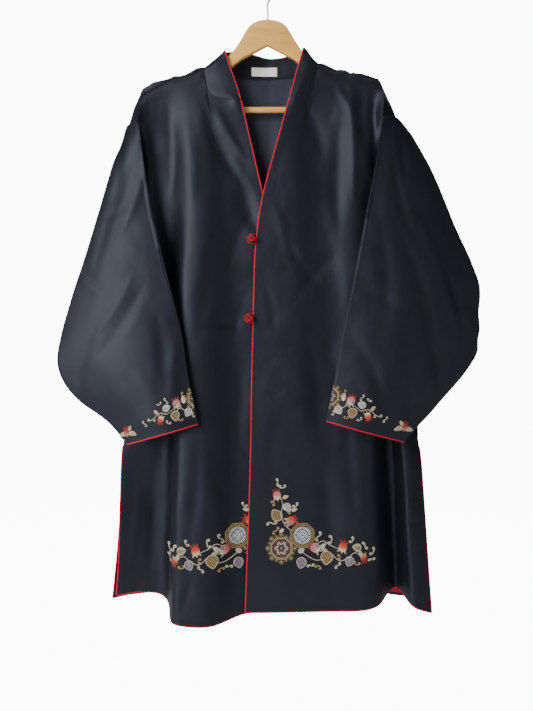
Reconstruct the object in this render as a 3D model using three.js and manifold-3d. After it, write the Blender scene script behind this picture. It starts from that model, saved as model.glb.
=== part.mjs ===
// Long hanbok jacket of lined satin on a wooden hanger. Millimetres, +Z up, X to the right and Y away from
// whoever faces its front. The origin is the inner crown of the hook, where a rail carries the hanger.
// Sides are the wearer's, so everything named "right" lies at -X.
import * as THREE from "three";
import { mergeVertices } from "three/addons/utils/BufferGeometryUtils.js";
import Module from "manifold-3d";

const wasm = await Module();
wasm.setup();

// ---- driving dimensions ----
const SATIN = 1.6; // satin with its interlining
const COLLAR_WALL = 2.4;
const LINING = 1.0;
const LINING_GAP = 0.5;
const SEAM_GAP = 0.3; // between two pieces sewn together
const ARMHOLE_GAP = 1.0; // a sleeve's own share of the gap where it folds back on the front
const PIPING_RADIUS = 1.3;
const COLLAR_SLACK = 0.3; // more room for the piping round the collar's top
const CUFF_SLACK = 0.3; // and round the cuff's
const CUFF_JOIN = 7; // from the underarm seam to the start of the cuff's piping
const RIDGE_RADIUS = 11; // bend of the cloth over the hanger's arm
const FRONT_SLOPE = 0.048; // how far the front stands forward for each millimetre down
const BACK_SLOPE = 0.045;
const LAP = 3.3; // each front's offset where one laps over the other
const SETTLE = 60; // drop over which a seam's own shape fades into the panel
const SHOULDER_TURN = 0.93; // share of a panel's width from which it turns to its side, over the shoulder
const SIDE_TURN = 0.87; // and below it
const BRIM = 0.9; // share of the back's half width from which it turns forward to the armhole
const RIDGE_DROPS = [0, 3, RIDGE_RADIUS]; // the first rows of a panel, below its top edge

const table = (columns, rows) =>
  rows.map((row) => Object.fromEntries(columns.map((name, i) => [name, row[i]])));

// The collar from the left front's edge, round the back of the neck, to the right front's edge: the seam to
// the body, and the piped top edge.
const COLLAR = table(
  ["seamX", "seamY", "seamZ", "topX", "topY", "topZ"],
  [
    [57, -21, -221, 39.8, -22, -222],
    [72, -18.5, -207, 45.7, -20, -201.6],
    [79.7, -15, -187, 51.8, -18, -178],
    [85.5, -13, -171.5, 58.7, -15, -155.3],
    [89.8, -10, -160, 62, -13.5, -144],
    [90.7, 0, -155, 65.1, -12, -133],
    [89, 11, -158, 72, 4, -132],
    [66, 22, -169, 54, 18, -131],
    [30, 25, -175, 27, 25, -138],
    [3, 26, -177, 3, 27, -139.5],
    [-26, 25, -176, -25, 25, -133],
    [-66, 22, -171, -56, 19, -130],
    [-108, 12, -166, -82, 4, -135],
    [-113, 0, -162, -77.2, -12, -138.9],
    [-112.5, -10, -167, -74, -13, -149],
    [-110.5, -11.5, -189, -69.9, -14.5, -162],
    [-104, -14, -209, -62.5, -17, -182.7],
    [-90, -18, -222, -55.1, -19, -204.6],
    [-69, -20, -226.8, -48.5, -21, -227.7],
  ],
);
const COLLAR_ROWS = 2;

// Each side of the body. The shoulder runs from the neck to the hanger's end, drop goes on from there down
// the sleeve's top fold to the armhole, and side holds the seam, the vent and both hem corners.
const SIDES = {
  right: {
    neck: [18, 17, 16, 15, 14, 13],
    shoulder: table(
      ["x", "z"],
      [
        [-131, -173], [-147, -178], [-162, -181.5], [-185, -190], [-200, -198.5], [-212, -204], [-221, -206],
      ],
    ),
    drop: table(
      ["z", "x", "y", "out"],
      [
        [-206, -221, 0, -221],
        [-209, -223, -2, -225],
        [-217, -227, -7, -231],
        [-240, -229.5, -20, -243],
        [-264, -230, -28, -251],
      ],
    ),
    armholeBack: [[-250, -10, -273], [-256, 8, -300], [-250, 25, -360], [-245, 12, -470]],
    armholeFront: [[-228, -10, -330], [-235, -8, -400], [-245, 12, -470]],
    side: table(
      ["z", "frontX", "frontY", "backX", "backY"],
      [
        [-560, -249, 11, -249, 11],
        [-650, -252, 8, -252, 8],
        [-740, -256, 4, -256, 4],
        [-830, -259, 0, -259, 0],
        [-850, -260, -4, -261, 4],
        [-940, -263, -7, -266, 12],
        [-1060, -267, -5, -276, 18],
      ],
    ),
    frontCorner: [-271, -2, -1112],
    backCorner: [-283, 22, -1123],
    edge: table(
      ["z", "x"],
      [[-227, -48.5], [-371, -15], [-400, -8], [-450, 4], [-520, 13], [-620, 18], [-1125, 24]],
    ),
    hem: table(
      ["x", "z"],
      [
        [24, -1123],
        [-36, -1126],
        [-78, -1136],
        [-101, -1138.5],
        [-132, -1138],
        [-169, -1133],
        [-186, -1114],
        [-220, -1107],
        [-271, -1112],
      ],
    ),
    hemColumns: [24, 2, -20, -40, -60, -82, -105, -130, -150, -162, -170, -180, -190, -228, -271],
    lap: LAP,
  },
  left: {
    neck: [0, 1, 2, 3, 4, 5],
    shoulder: table(
      ["x", "z"],
      [[115, -167.5], [128, -170], [138, -174.7], [153, -172.7], [169, -179], [184, -181.7], [198, -183]],
    ),
    drop: table(
      ["z", "x", "y", "out"],
      [
        [-183, 198, 0, 198],
        [-186, 200, -2, 202],
        [-194, 203, -7, 208],
        [-225, 206, -20, 226],
        [-256, 203, -28, 240],
      ],
    ),
    armholeBack: [[228, -10, -259], [241, 8, -280], [243, 25, -345], [250, 12, -470]],
    armholeFront: [[208, -10, -322], [226, -8, -392], [250, 12, -470]],
    side: table(
      ["z", "frontX", "frontY", "backX", "backY"],
      [
        [-560, 256, 12, 256, 12],
        [-650, 262, 10, 262, 10],
        [-740, 267, 6, 267, 6],
        [-830, 271, 0, 271, 0],
        [-850, 273, -5, 271, 5],
        [-940, 279, -12, 275, 16],
        [-1060, 285, -22, 281, 26],
      ],
    ),
    frontCorner: [289, -28, -1134.7],
    backCorner: [285, 34, -1124],
    edge: table(
      ["z", "x"],
      [
        [-222, 39.8],
        [-372, -1.5],
        [-407, -9.4],
        [-456, -17.1],
        [-487, -20.3],
        [-533, -22.7],
        [-613, -24.3],
        [-727, -27.1],
        [-839, -28.5],
        [-990, -32.7],
        [-1103, -37.5],
        [-1124, -38],
      ],
    ),
    hem: table(
      ["x", "z"],
      [
        [-38, -1124],
        [55, -1122.5],
        [153, -1120.6],
        [189, -1116],
        [231, -1098],
        [252, -1118],
        [289, -1134.7],
      ],
    ),
    hemColumns: [-38, -14, 10, 34, 60, 86, 112, 136, 158, 178, 194, 211, 231, 252, 289],
    lap: -LAP,
  },
};

// A fold is a run over which the cloth steps forward (minus) or back (plus) on its way from the front edge,
// or from the centre of the back, to the side. It has its own place and depth at the chest and at the hem.
const FOLD_COLUMNS = ["chestFrom", "chestTo", "chestDepth", "hemFrom", "hemTo", "hemDepth"];
const FOLDS = {
  front_right: table(FOLD_COLUMNS, [
    [-70, -122, -8, -40, -105, -34],
    [-140, -166, 12, -160, -184, 95],
    [-198, -213, -9, -222, -262, -12],
  ]),
  front_left: table(FOLD_COLUMNS, [
    [48, 78, 7, 60, 110, -3],
    [112, 140, -10, 112, 150, -3],
    [168, 190, 4, 184, 228, 68],
    [196, 206, 0, 231, 250, -44],
  ]),
  back: table(FOLD_COLUMNS, [
    [-150, -190, -6, -205, -245, -22],
    [-70, -110, 6, -95, -140, 18],
    [20, 60, -3, 30, 75, -10],
    [95, 130, 5, 120, 165, 20],
    [165, 195, -6, 205, 250, -24],
  ]),
};
const CHEST_Z = -260;
const HEM_Z = -1124;
const BACK_CENTRE = 3;

// A sleeve is a flattened tube from the armhole to the cuff. Each ring has its top fold, its outer fold, its
// underarm seam, and how far its two faces bulge forward.
const RING_COLUMNS = [
  "foldX", "foldY", "foldZ", "outX", "outY", "outZ", "seamX", "seamY", "seamZ", "front", "rear",
];
const RINGS = {
  sleeve_right: table(RING_COLUMNS, [
    [-222.8, -33, -304, -277, -7, -337, -264, 15, -500, 5, 10],
    [-211.6, -37, -372, -301, -12, -420, -288, 4, -545, 8, 9],
    [-202.3, -41, -425, -325, -19, -506, -318, -10, -600, 10, 7],
    [-183.9, -48, -500, -348, -26, -583, -346, -20, -650, 13, 5],
    [-172, -52, -545, -364, -32, -647, -364, -26, -690, 15, 4],
    [-158.7, -58, -594, -369, -37, -693, -362, -30, -722, 17, 3],
    [-144.8, -64, -651, -352, -42, -735, -344, -34, -748, 19, 2],
    [-138.3, -68, -692, -327, -46, -761, -322, -37, -768, 20, 2],
    [-132.9, -71, -727, -297, -50, -782, -294, -40, -786, 20, 2],
    [-124.9, -74, -762, -273, -54, -800, -270, -44, -804, 19, 2],
    [-117.6, -76, -797, -241.5, -66, -833, -255, -50, -823, 16, 2],
  ]),
  sleeve_left: table(RING_COLUMNS, [
    [194.8, -33, -304, 262, -7, -292, 270, 15, -500, 5, 10],
    [186.2, -37, -355, 297, -12, -359, 296, 6, -540, 8, 9],
    [175.1, -41, -405, 333, -18, -451, 328, -6, -585, 10, 7],
    [160.3, -48, -479, 363, -24, -521, 354, -16, -628, 12, 5],
    [149.3, -53, -533, 374, -29, -561, 366, -22, -650, 14, 4],
    [138.4, -58, -586, 370, -34, -601, 371, -26, -668, 16, 3],
    [125.8, -64, -646, 370, -39, -640, 366, -31, -684, 18, 2],
    [117.7, -68, -689, 347, -44, -698, 343, -35, -716, 19, 2],
    [111.4, -71, -728, 312, -48, -745, 308, -39, -755, 19, 2],
    [104.4, -74, -762, 279, -52, -783, 276, -43, -790, 18, 2],
    [98.7, -76, -792, 233.6, -66, -829, 246, -50, -818, 15, 2],
  ]),
};
const FACE_STEPS = 5; // from the top fold to the outer fold, and again up the hidden face
const UNDER_STEPS = 3; // from the outer fold to the underarm seam

// The hanger: half of its outline, from the crown of the arch round the arm's end to the notch.
const HANGER_THICK = 12;
const HANGER_BEVEL = 2.5;
const HANGER_TOP = [
  [0, -78], [15, -79], [30.9, -87.4], [40, -101], [46, -110], [53.5, -124], [60, -132], [68.6, -141],
  [76, -149.5], [88.7, -161.5], [109, -171], [131, -179.5], [158, -188.5], [180, -197], [190, -203],
];
const HANGER_UNDER = [
  [194, -209], [194, -244], [190, -250], [178, -249], [172, -230], [150, -214], [110, -192], [62.5, -162],
  [46.8, -149], [0, -124.5],
];
const BAR_Z = -239.5;
const BAR_RADIUS = 5.4;
const BAR_HALF = 182;
const WIRE_RADIUS = 1.75;
const HOOK_RADIUS = 19; // inside of the hook's bend
const WELL_LENGTH = 40; // of the cutter that makes the wire's hole in the hanger's top
const SHANK_FOOT = -94;
const SHANK_TOP = -48;

// Knot buttons on the right front, and the loops on the left front's edge that go round their shanks.
const BUTTONS = table(["name", "x", "z"], [["upper", -27.5, -476], ["lower", -31.5, -616]]);
const KNOT_RADIUS = 7.2;
const SHANK_RADIUS = 2;
const SHANK_LENGTH = 7; // from the right front to the knot
const CORD_RADIUS = 1.4;
const LOOP_RADIUS = 8.4;

// Label inside the back of the collar, in columns and rows of the collar.
const LABEL = { from: 8.45, to: 10.1, low: 0.82, high: 1.78, wall: 0.6, lift: 0.6 };
const LINING_TOP = 1; // the back's row where its lining begins
const LINING_INSET = 3; // columns from each side of the back to its lining
const FACING_ROWS = 1; // the red facing covers the back's last row

// ---- shared geometry ----
const mix = THREE.MathUtils.lerp;
const vec = (point) => new THREE.Vector3(...point);

function ramp(value, from, to) {
  const t = THREE.MathUtils.clamp((value - from) / (to - from), 0, 1);
  return t * t * (3 - 2 * t);
}

// Straight interpolation in a table, which may run either way.
function lookup(rows, key, column, value) {
  const way = Math.sign(rows[rows.length - 1][key] - rows[0][key]);
  let i = 1;
  while (i < rows.length - 1 && way * (value - rows[i][key]) > 0) i++;
  const a = rows[i - 1];
  const b = rows[i];
  const t = THREE.MathUtils.clamp((value - a[key]) / (b[key] - a[key]), 0, 1);
  return mix(a[column], b[column], t);
}

// A sheet of cloth: rows of points on its outer face, with facing 1 where rows x columns point inward.
class Sheet {
  constructor(name, rows, facing, wall, closed = false, edgeGap = SEAM_GAP / 2) {
    Object.assign(this, { name, rows, facing, wall, closed, edgeGap });
    this.columns = rows[0].length;
    this.mirrorColumn = Infinity;
  }
  columnAfter(j) {
    return this.closed ? (j + 1) % this.columns : j + 1;
  }
  spans() {
    return this.closed ? this.columns : this.columns - 1;
  }
  // Area-weighted normals, kept by place so that two sheets sewn together can share them along the seam.
  addNormals(sums) {
    for (let i = 0; i < this.rows.length - 1; i++) {
      for (let j = 0; j < this.spans(); j++) {
        const k = this.columnAfter(j);
        const corners = [this.rows[i][j], this.rows[i][k], this.rows[i + 1][k], this.rows[i + 1][j]];
        const across = corners[2].clone().sub(corners[0]);
        const down = corners[3].clone().sub(corners[1]);
        const normal = across.cross(down).multiplyScalar(this.facing);
        for (const corner of corners) {
          const key = placeKey(corner);
          if (!sums.has(key)) sums.set(key, new Map());
          const shares = sums.get(key);
          shares.set(this.name, (shares.get(this.name) ?? new THREE.Vector3()).add(normal));
        }
      }
    }
  }
  // A front and a sleeve fold back on each other at the armhole, so each keeps its own normal there, and
  // where the back joins them the body's normal holds.
  sharedNormal(shares) {
    const kinds = [...shares.keys()].map((name) => name.split("_")[0]);
    const folded = kinds.includes("front") && kinds.includes("sleeve");
    const body = kinds.includes("back");
    const normal = new THREE.Vector3();
    for (const [name, share] of shares) {
      const own = name === this.name;
      if (!folded || (body ? !name.startsWith("sleeve") : own)) normal.add(share);
    }
    return normal.normalize();
  }
  // Both faces of the wall, with every edge drawn back by half of the seam gap.
  settle(sums) {
    const last = this.rows.length - 1;
    this.normals = this.rows.map((row) => row.map((p) => this.sharedNormal(sums.get(placeKey(p)))));
    const pull = (i, j) => {
      const hidden = this.closed && (j === 0 || j > FACE_STEPS + UNDER_STEPS);
      const gap = i === 0 && hidden ? ARMHOLE_GAP : this.edgeGap;
      const inI = Math.min(Math.max(i, 1), last - 1);
      const inJ = this.closed ? j : Math.min(Math.max(j, 1), this.columns - 2);
      const away = this.rows[inI][inJ].clone().sub(this.rows[i][j]);
      if (inI !== i || inJ !== j) away.setLength(gap * Math.hypot(inI - i, inJ - j));
      // At both ends of its hidden seam the sleeve stays outside the body's wall.
      const end = this.closed && i === 0 && (j === 0 || j === FACE_STEPS + UNDER_STEPS);
      return end ? away.addScaledVector(this.normals[0][j], this.wall + SEAM_GAP) : away;
    };
    this.outer = this.rows.map((row, i) => row.map((p, j) => p.clone().add(pull(i, j))));
    this.inner = this.outer.map((row, i) =>
      row.map((p, j) => p.clone().addScaledVector(this.normals[i][j], -this.wall)),
    );
  }
  middle(i, j) {
    return this.outer[i][j].clone().lerp(this.inner[i][j], 0.5);
  }
  // A place in the sheet, by row and column, a distance inside its inner face.
  inside(row, column, depth) {
    const i = Math.min(Math.floor(row), this.rows.length - 2);
    const j = Math.min(Math.floor(column), this.columns - 2);
    const blend = (grid) => {
      const top = grid[i][j].clone().lerp(grid[i][j + 1], column - j);
      const low = grid[i + 1][j].clone().lerp(grid[i + 1][j + 1], column - j);
      return top.lerp(low, row - i);
    };
    return blend(this.inner).addScaledVector(blend(this.normals).normalize(), -depth);
  }
  // The same rows and columns moved inward from the inner face.
  lined(depth, firstRow, lastRow, firstColumn, lastColumn) {
    const rows = [];
    for (let i = firstRow; i <= lastRow; i++) {
      const row = [];
      for (let j = firstColumn; j <= lastColumn; j++) row.push(this.inside(i, j, depth));
      rows.push(row);
    }
    return rows;
  }
  geometry() {
    const points = [...this.outer.flat(), ...this.inner.flat()];
    const half = points.length / 2;
    const at = (i, j, face) => face * half + i * this.columns + j;
    const faces = [];
    const quad = (a, b, c, d) => faces.push([a, b, c], [a, c, d]);
    // The wall's edge is split from its higher place's outer face, so two sheets sewn together split alike.
    const edge = (i, j, k, l) => {
      const [here, next] = [this.rows[i][j], this.rows[k][l]];
      const corners = [at(i, j, 0), at(i, j, 1), at(k, l, 1), at(k, l, 0)];
      if (here.z < next.z || (here.z === next.z && here.x > next.x)) corners.unshift(corners.pop());
      quad(...corners);
    };
    const last = this.rows.length - 1;
    for (let j = 0; j < this.spans(); j++) {
      const k = this.columnAfter(j);
      for (let i = 0; i < last; i++) {
        const outer = [at(i, j, 0), at(i, k, 0), at(i + 1, k, 0), at(i + 1, j, 0)];
        const inner = [at(i, j, 1), at(i + 1, j, 1), at(i + 1, k, 1), at(i, k, 1)];
        // Beyond the mirror column each quad is split the other way.
        if (j >= this.mirrorColumn) {
          outer.push(outer.shift());
          inner.push(inner.shift());
        }
        quad(...outer);
        quad(...inner);
      }
      edge(0, j, 0, k);
      edge(last, k, last, j);
    }
    for (let i = 0; i < last && !this.closed; i++) {
      const end = this.columns - 1;
      edge(i + 1, 0, i, 0);
      edge(i, end, i + 1, end);
    }
    const order = this.facing > 0 ? faces : faces.map((face) => face.reverse());
    const geometry = new THREE.BufferGeometry();
    const values = points.flatMap((p) => p.toArray());
    geometry.setAttribute("position", new THREE.Float32BufferAttribute(values, 3));
    geometry.setIndex(order.flat());
    return geometry;
  }
}

function placeKey(point) {
  return point.toArray().map((value) => value.toFixed(2)).join(" ");
}

// A path that turns only at its own points, so a tube along it stays the same distance from a sheet's edge.
class CornerPath extends THREE.Curve {
  constructor(points) {
    super();
    this.points = points;
  }
  getPoint(t) {
    const place = t * (this.points.length - 1);
    const i = Math.min(Math.floor(place + 1e-6), this.points.length - 2);
    return this.points[i].clone().lerp(this.points[i + 1], place - i);
  }
  getPointAt(t) {
    return this.getPoint(t);
  }
  getTangentAt(t) {
    const i = Math.round(t * (this.points.length - 1));
    const before = this.points[Math.max(i - 1, 0)];
    const after = this.points[Math.min(i + 1, this.points.length - 1)];
    const here = this.points[i];
    const into = i ? here.clone().sub(before).normalize() : new THREE.Vector3();
    const out = i < this.points.length - 1 ? after.clone().sub(here).normalize() : new THREE.Vector3();
    return into.add(out).normalize();
  }
}

function tube(path, steps, radius, sides) {
  const section = new THREE.Shape();
  for (let i = 0; i < sides; i++) {
    const angle = (2 * Math.PI * i) / sides;
    const x = radius * Math.cos(angle);
    const y = radius * Math.sin(angle);
    if (i) section.lineTo(x, y);
    else section.moveTo(x, y);
  }
  section.closePath();
  return new THREE.ExtrudeGeometry(section, { steps, extrudePath: path });
}

// Piping just outside a sheet's edge. The stops are row and column pairs, in order along the edge, and each
// end stops short of the next piece's piping.
function pipingGeometry(sheet, stops, slack = 0, startGap = SEAM_GAP) {
  const last = sheet.rows.length - 1;
  const outward = ([i, j], [k, l]) => {
    const along = sheet.middle(k, l).sub(sheet.middle(i, j)).normalize();
    const inner = i === k ? [i === 0 ? 1 : last - 1, j] : [i, j === 0 ? 1 : sheet.columns - 2];
    const away = sheet.middle(i, j).sub(sheet.middle(...inner));
    return away.addScaledVector(along, -away.dot(along)).normalize();
  };
  const reach = PIPING_RADIUS + SEAM_GAP + slack;
  const points = [];
  stops.forEach((stop, n) => {
    const previous = stops[n - 1];
    const next = stops[n + 1];
    const before = previous ? outward(previous, stop) : null;
    const after = next ? outward(stop, next) : null;
    const here = sheet.middle(...stop);
    const lean = (before ?? after).clone().add(after ?? before).normalize();
    const mitre = lean.dot(before ?? after);
    const put = (way, length) => points.push(here.clone().addScaledVector(way, length));
    if (before && after && before.dot(after) < 0.6) {
      put(before, reach);
      put(lean, reach * 1.35);
      put(after, reach);
    } else put(lean, reach / mitre);
  });
  const shorten = (end, next, gap) => end.lerp(next, gap / end.distanceTo(next));
  shorten(points[0], points[1], startGap);
  shorten(points[points.length - 1], points[points.length - 2], SEAM_GAP);
  return tube(new CornerPath(points), points.length - 1, PIPING_RADIUS, 6);
}

const path = (from, to, fixed, byRow) => {
  const step = Math.sign(to - from);
  const stops = [];
  for (let n = from; n !== to + step; n += step) stops.push(byRow ? [n, fixed] : [fixed, n]);
  return stops;
};
const down = (from, to, column) => path(from, to, column, true);
const across = (from, to, row) => path(from, to, row, false);

// ---- the body ----
// The seam between the collar and one side of the body, from the front edge to the top of the shoulder.
function neckSeam(side) {
  const columns = side.neck.map((index) => COLLAR[index]);
  const start = columns[0];
  const seam = [];
  for (let r = COLLAR_ROWS; r > 0; r--) seam.push(collarPoint(start, r));
  return seam.concat(columns.map((column) => collarPoint(column, 0)));
}

function collarPoint(column, row) {
  const seam = vec([column.seamX, column.seamY, column.seamZ]);
  const top = vec([column.topX, column.topY, column.topZ]);
  const point = seam.lerp(top, row / COLLAR_ROWS);
  // The band stands a little full between its seam and its top edge.
  if (row && row < COLLAR_ROWS) point.y += 2 * Math.sign(column.seamY);
  return point;
}

const shoulderLine = (side) => side.shoulder.map(({ x, z }) => new THREE.Vector3(x, 0, z));

function ridgeHeight(x) {
  const side = x < BACK_CENTRE ? SIDES.right : SIDES.left;
  const neck = COLLAR[side.neck.at(-1)];
  const rows = [{ x: neck.seamX, z: neck.seamZ }, ...side.shoulder];
  return lookup(rows, "x", "z", x);
}

// How far the cloth has come away from the shoulder's ridge at this drop.
function hang(drop, slope) {
  const bend = Math.min(Math.max(drop, 0), RIDGE_RADIUS);
  const round = Math.sqrt(RIDGE_RADIUS ** 2 - (RIDGE_RADIUS - bend) ** 2);
  return round + slope * Math.max(drop - RIDGE_RADIUS, 0);
}

function foldDepth(folds, x, z) {
  const down = THREE.MathUtils.clamp((CHEST_Z - z) / (CHEST_Z - HEM_Z), 0, 1);
  const start = ramp(z, -190, CHEST_Z);
  return folds.reduce((sum, fold) => {
    const from = mix(fold.chestFrom, fold.hemFrom, down);
    const to = mix(fold.chestTo, fold.hemTo, down);
    return sum + start * mix(fold.chestDepth, fold.hemDepth, down) * ramp(x, from, to);
  }, 0);
}

function frontDepth(name, side, x, z) {
  const lapped = ramp(z, -290, -400) * (1 - ramp(Math.abs(x), 45, 110));
  return -hang(ridgeHeight(x) - z, FRONT_SLOPE) + foldDepth(FOLDS[name], x, z) + side.lap * lapped;
}

function backDepth(x, z) {
  return hang(ridgeHeight(x) - z, BACK_SLOPE) + foldDepth(FOLDS.back, x, z);
}

function dropPoint({ drop }) {
  const { x, y, z } = drop.at(-1);
  return new THREE.Vector3(x, y, z);
}

const smooth = (points, steps) => new THREE.CatmullRomCurve3(points, false, "centripetal").getPoints(steps);

// From the end of the drop down the front of the armhole.
const armholeFrontPoints = (side) => smooth([dropPoint(side), ...side.armholeFront.map(vec)], FACE_STEPS);

// The points down one side of a panel: the shoulder's drop, the armhole, the side seam, the vent and the
// hem's corner.
function sidePoints(side, face) {
  const front = face === "front";
  const hole = front ? armholeFrontPoints(side) : armholeBackPoints(side);
  return [
    ...side.drop.map(({ x, y, z }) => new THREE.Vector3(x, y, z)),
    ...hole.slice(1),
    ...side.side.map((row) => new THREE.Vector3(row[face + "X"], row[face + "Y"], row.z)),
    vec(front ? side.frontCorner : side.backCorner),
  ];
}

// The back of the armhole has the sleeve's steps: to its outer fold, then down to the underarm.
function armholeBackPoints(side) {
  const points = side.armholeBack.map(vec);
  const near = smooth([dropPoint(side), points[0], points[1]], FACE_STEPS);
  return [...near, ...smooth(points.slice(1), UNDER_STEPS).slice(1)];
}

// How far down a panel each row lies at a column: by its drop just under the shoulder, then in step with the
// points down its side.
function rowShare(n, sideLine, top, bottom) {
  if (n < RIDGE_DROPS.length) return RIDGE_DROPS[n] / (top.z - bottom.z);
  return (sideLine[0].z - sideLine[n].z) / (sideLine[0].z - sideLine[sideLine.length - 1].z);
}

function frontSheet(name, side, facing) {
  const top = [...neckSeam(side), ...shoulderLine(side)];
  const line = sidePoints(side, "front");
  const edgeX = (z) => lookup(side.edge, "z", "x", z);
  const hemZ = (x) => lookup(side.hem, "x", "z", x);
  const hemSpan = side.hemColumns.at(-1) - side.hemColumns[0];
  const rows = line.map((sidePoint, n) =>
    top.map((start, j) => {
      if (n === 0) return start.clone();
      if (j === top.length - 1) return sidePoint.clone();
      const hemX = side.hemColumns[j];
      const end = { z: hemZ(hemX) };
      const share = rowShare(n, line, start, end);
      const z = mix(start.z, end.z, share);
      const edgeStart = mix(top[0].z, hemZ(side.hemColumns[0]), share);
      const topShare = (start.x - top[0].x) / (line[0].x - top[0].x);
      const hemShare = (hemX - side.hemColumns[0]) / hemSpan;
      const f = mix(topShare, hemShare, ramp(share, 0, 0.5));
      const x = mix(edgeX(edgeStart), sidePoint.x, f);
      const own = start.y - frontDepth(name, side, start.x, start.z);
      const y = frontDepth(name, side, x, z) + own * Math.exp(-(start.z - z) / SETTLE);
      const turn = ramp(f, n < side.drop.length ? SHOULDER_TURN : SIDE_TURN, 1);
      return new THREE.Vector3(x, mix(y, sidePoint.y, turn), z);
    }),
  );
  return new Sheet(name, rows, facing, SATIN);
}

function backSheet() {
  const neck = COLLAR.slice(SIDES.left.neck.at(-1), SIDES.right.neck.at(-1) + 1);
  const top = [
    ...shoulderLine(SIDES.right).reverse(),
    ...neck.map((column) => collarPoint(column, 0)).reverse(),
    ...shoulderLine(SIDES.left),
  ];
  const lines = { right: sidePoints(SIDES.right, "back"), left: sidePoints(SIDES.left, "back") };
  const centre = (top.length - 1) / 2;
  const rows = lines.right.map((_, n) =>
    top.map((start, j) => {
      const name = j < centre ? "right" : "left";
      const side = SIDES[name];
      const line = lines[name];
      const corner = line[line.length - 1];
      const hemShare = Math.abs(j - centre) / centre;
      const end = { z: mix(HEM_Z, corner.z, hemShare) };
      if (n === 0) return start.clone();
      if (j === 0 || j === top.length - 1) return line[n].clone();
      const topShare = (start.x - BACK_CENTRE) / (line[0].x - BACK_CENTRE);
      const share = rowShare(n, line, start, end);
      const z = mix(start.z, end.z, share);
      const sidePoint = line[n];
      const f = mix(topShare, hemShare, ramp(share, 0, 0.4));
      // Above the armhole the cloth goes out past the seam and turns forward to it.
      const under = ramp(sidePoint.z, line[side.drop.length].z, line[side.drop.length + FACE_STEPS].z);
      const out = mix(lookup(side.drop, "z", "out", sidePoint.z), sidePoint.x, under);
      const brim = n < RIDGE_DROPS.length ? 1 : mix(BRIM, 1, under);
      const x = mix(mix(BACK_CENTRE, out, Math.min(f / brim, 1)), sidePoint.x, ramp(f, brim, 1.001));
      const fade = Math.exp(-(start.z - z) / SETTLE);
      const y = backDepth(x, z) + (start.y - backDepth(start.x, start.z)) * fade;
      const turn = ramp(f, n < side.drop.length ? SHOULDER_TURN : SIDE_TURN, 1);
      return new THREE.Vector3(x, mix(y, sidePoint.y, turn), z);
    }),
  );
  const sheet = new Sheet("back", rows, 1, SATIN);
  sheet.mirrorColumn = centre;
  return sheet;
}

function collarSheet() {
  const rows = [];
  for (let r = COLLAR_ROWS; r >= 0; r--) rows.push(COLLAR.map((column) => collarPoint(column, r)));
  return new Sheet("collar", rows, -1, COLLAR_WALL, false, SEAM_GAP);
}

// ---- the sleeves ----
function sleeveSheet(name, side, facing) {
  const back = armholeBackPoints(side);
  const front = armholeFrontPoints(side).reverse();
  const first = [...back, ...front.slice(1, -1)];
  const bulge = (from, to, steps, amount) => {
    const points = [];
    for (let n = 0; n < steps; n++) {
      const point = from.clone().lerp(to, n / steps);
      point.y -= amount * Math.sin((Math.PI * n) / steps);
      points.push(point);
    }
    return points;
  };
  const rings = RINGS[name].map((ring) => {
    const fold = new THREE.Vector3(ring.foldX, ring.foldY, ring.foldZ);
    const out = new THREE.Vector3(ring.outX, ring.outY, ring.outZ);
    const seam = new THREE.Vector3(ring.seamX, ring.seamY, ring.seamZ);
    return [
      ...bulge(fold, out, FACE_STEPS, ring.front),
      ...bulge(out, seam, UNDER_STEPS, -3),
      ...bulge(seam, fold, FACE_STEPS, ring.rear),
    ];
  });
  return new Sheet(name, [first, ...rings], facing, SATIN, true, SEAM_GAP);
}

// ---- hanger, hook, buttons ----
const cylinder = (radius, length, sides) => new THREE.CylinderGeometry(radius, radius, length, sides);

function hangerGeometry() {
  const mirrored = (points) => points.filter(([x]) => x > 0).map(([x, z]) => [-x, z]).reverse();
  const outline = [
    ...HANGER_TOP,
    ...HANGER_UNDER,
    ...mirrored(HANGER_UNDER),
    ...mirrored(HANGER_TOP),
  ];
  // The outline is drawn at the bevel's outer edge, so the shape is drawn in by the bevel first.
  const shape = new THREE.Shape(outline.map(([x, z]) => new THREE.Vector2(x, z)));
  const plate = new THREE.ExtrudeGeometry(shape, {
    depth: HANGER_THICK - 2 * HANGER_BEVEL,
    bevelThickness: HANGER_BEVEL,
    bevelSize: HANGER_BEVEL,
    bevelOffset: -HANGER_BEVEL,
    bevelSegments: 2,
  });
  plate.rotateX(Math.PI / 2);
  plate.translate(0, HANGER_THICK / 2 - HANGER_BEVEL, 0);
  const socket = cylinder(BAR_RADIUS + SEAM_GAP, 2 * (BAR_HALF + SEAM_GAP), 20).rotateZ(Math.PI / 2);
  socket.translate(0, 0, BAR_Z);
  const well = cylinder(WIRE_RADIUS + SEAM_GAP, WELL_LENGTH, 16).rotateX(Math.PI / 2);
  well.translate(0, 0, SHANK_FOOT - SEAM_GAP + WELL_LENGTH / 2);
  return bufferGeometry(solid(plate).subtract(solid(socket)).subtract(solid(well)));
}

function solid(geometry) {
  const bare = geometry.clone();
  bare.deleteAttribute("normal");
  bare.deleteAttribute("uv");
  const merged = mergeVertices(bare, 1e-3);
  return new wasm.Manifold(
    new wasm.Mesh({
      numProp: 3,
      vertProperties: merged.attributes.position.array,
      triVerts: new Uint32Array(merged.index.array),
    }),
  );
}

function bufferGeometry(manifold) {
  const { vertProperties, triVerts } = manifold.getMesh();
  const geometry = new THREE.BufferGeometry();
  geometry.setAttribute("position", new THREE.BufferAttribute(Float32Array.from(vertProperties), 3));
  geometry.setIndex(Array.from(triVerts));
  return geometry;
}

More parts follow.
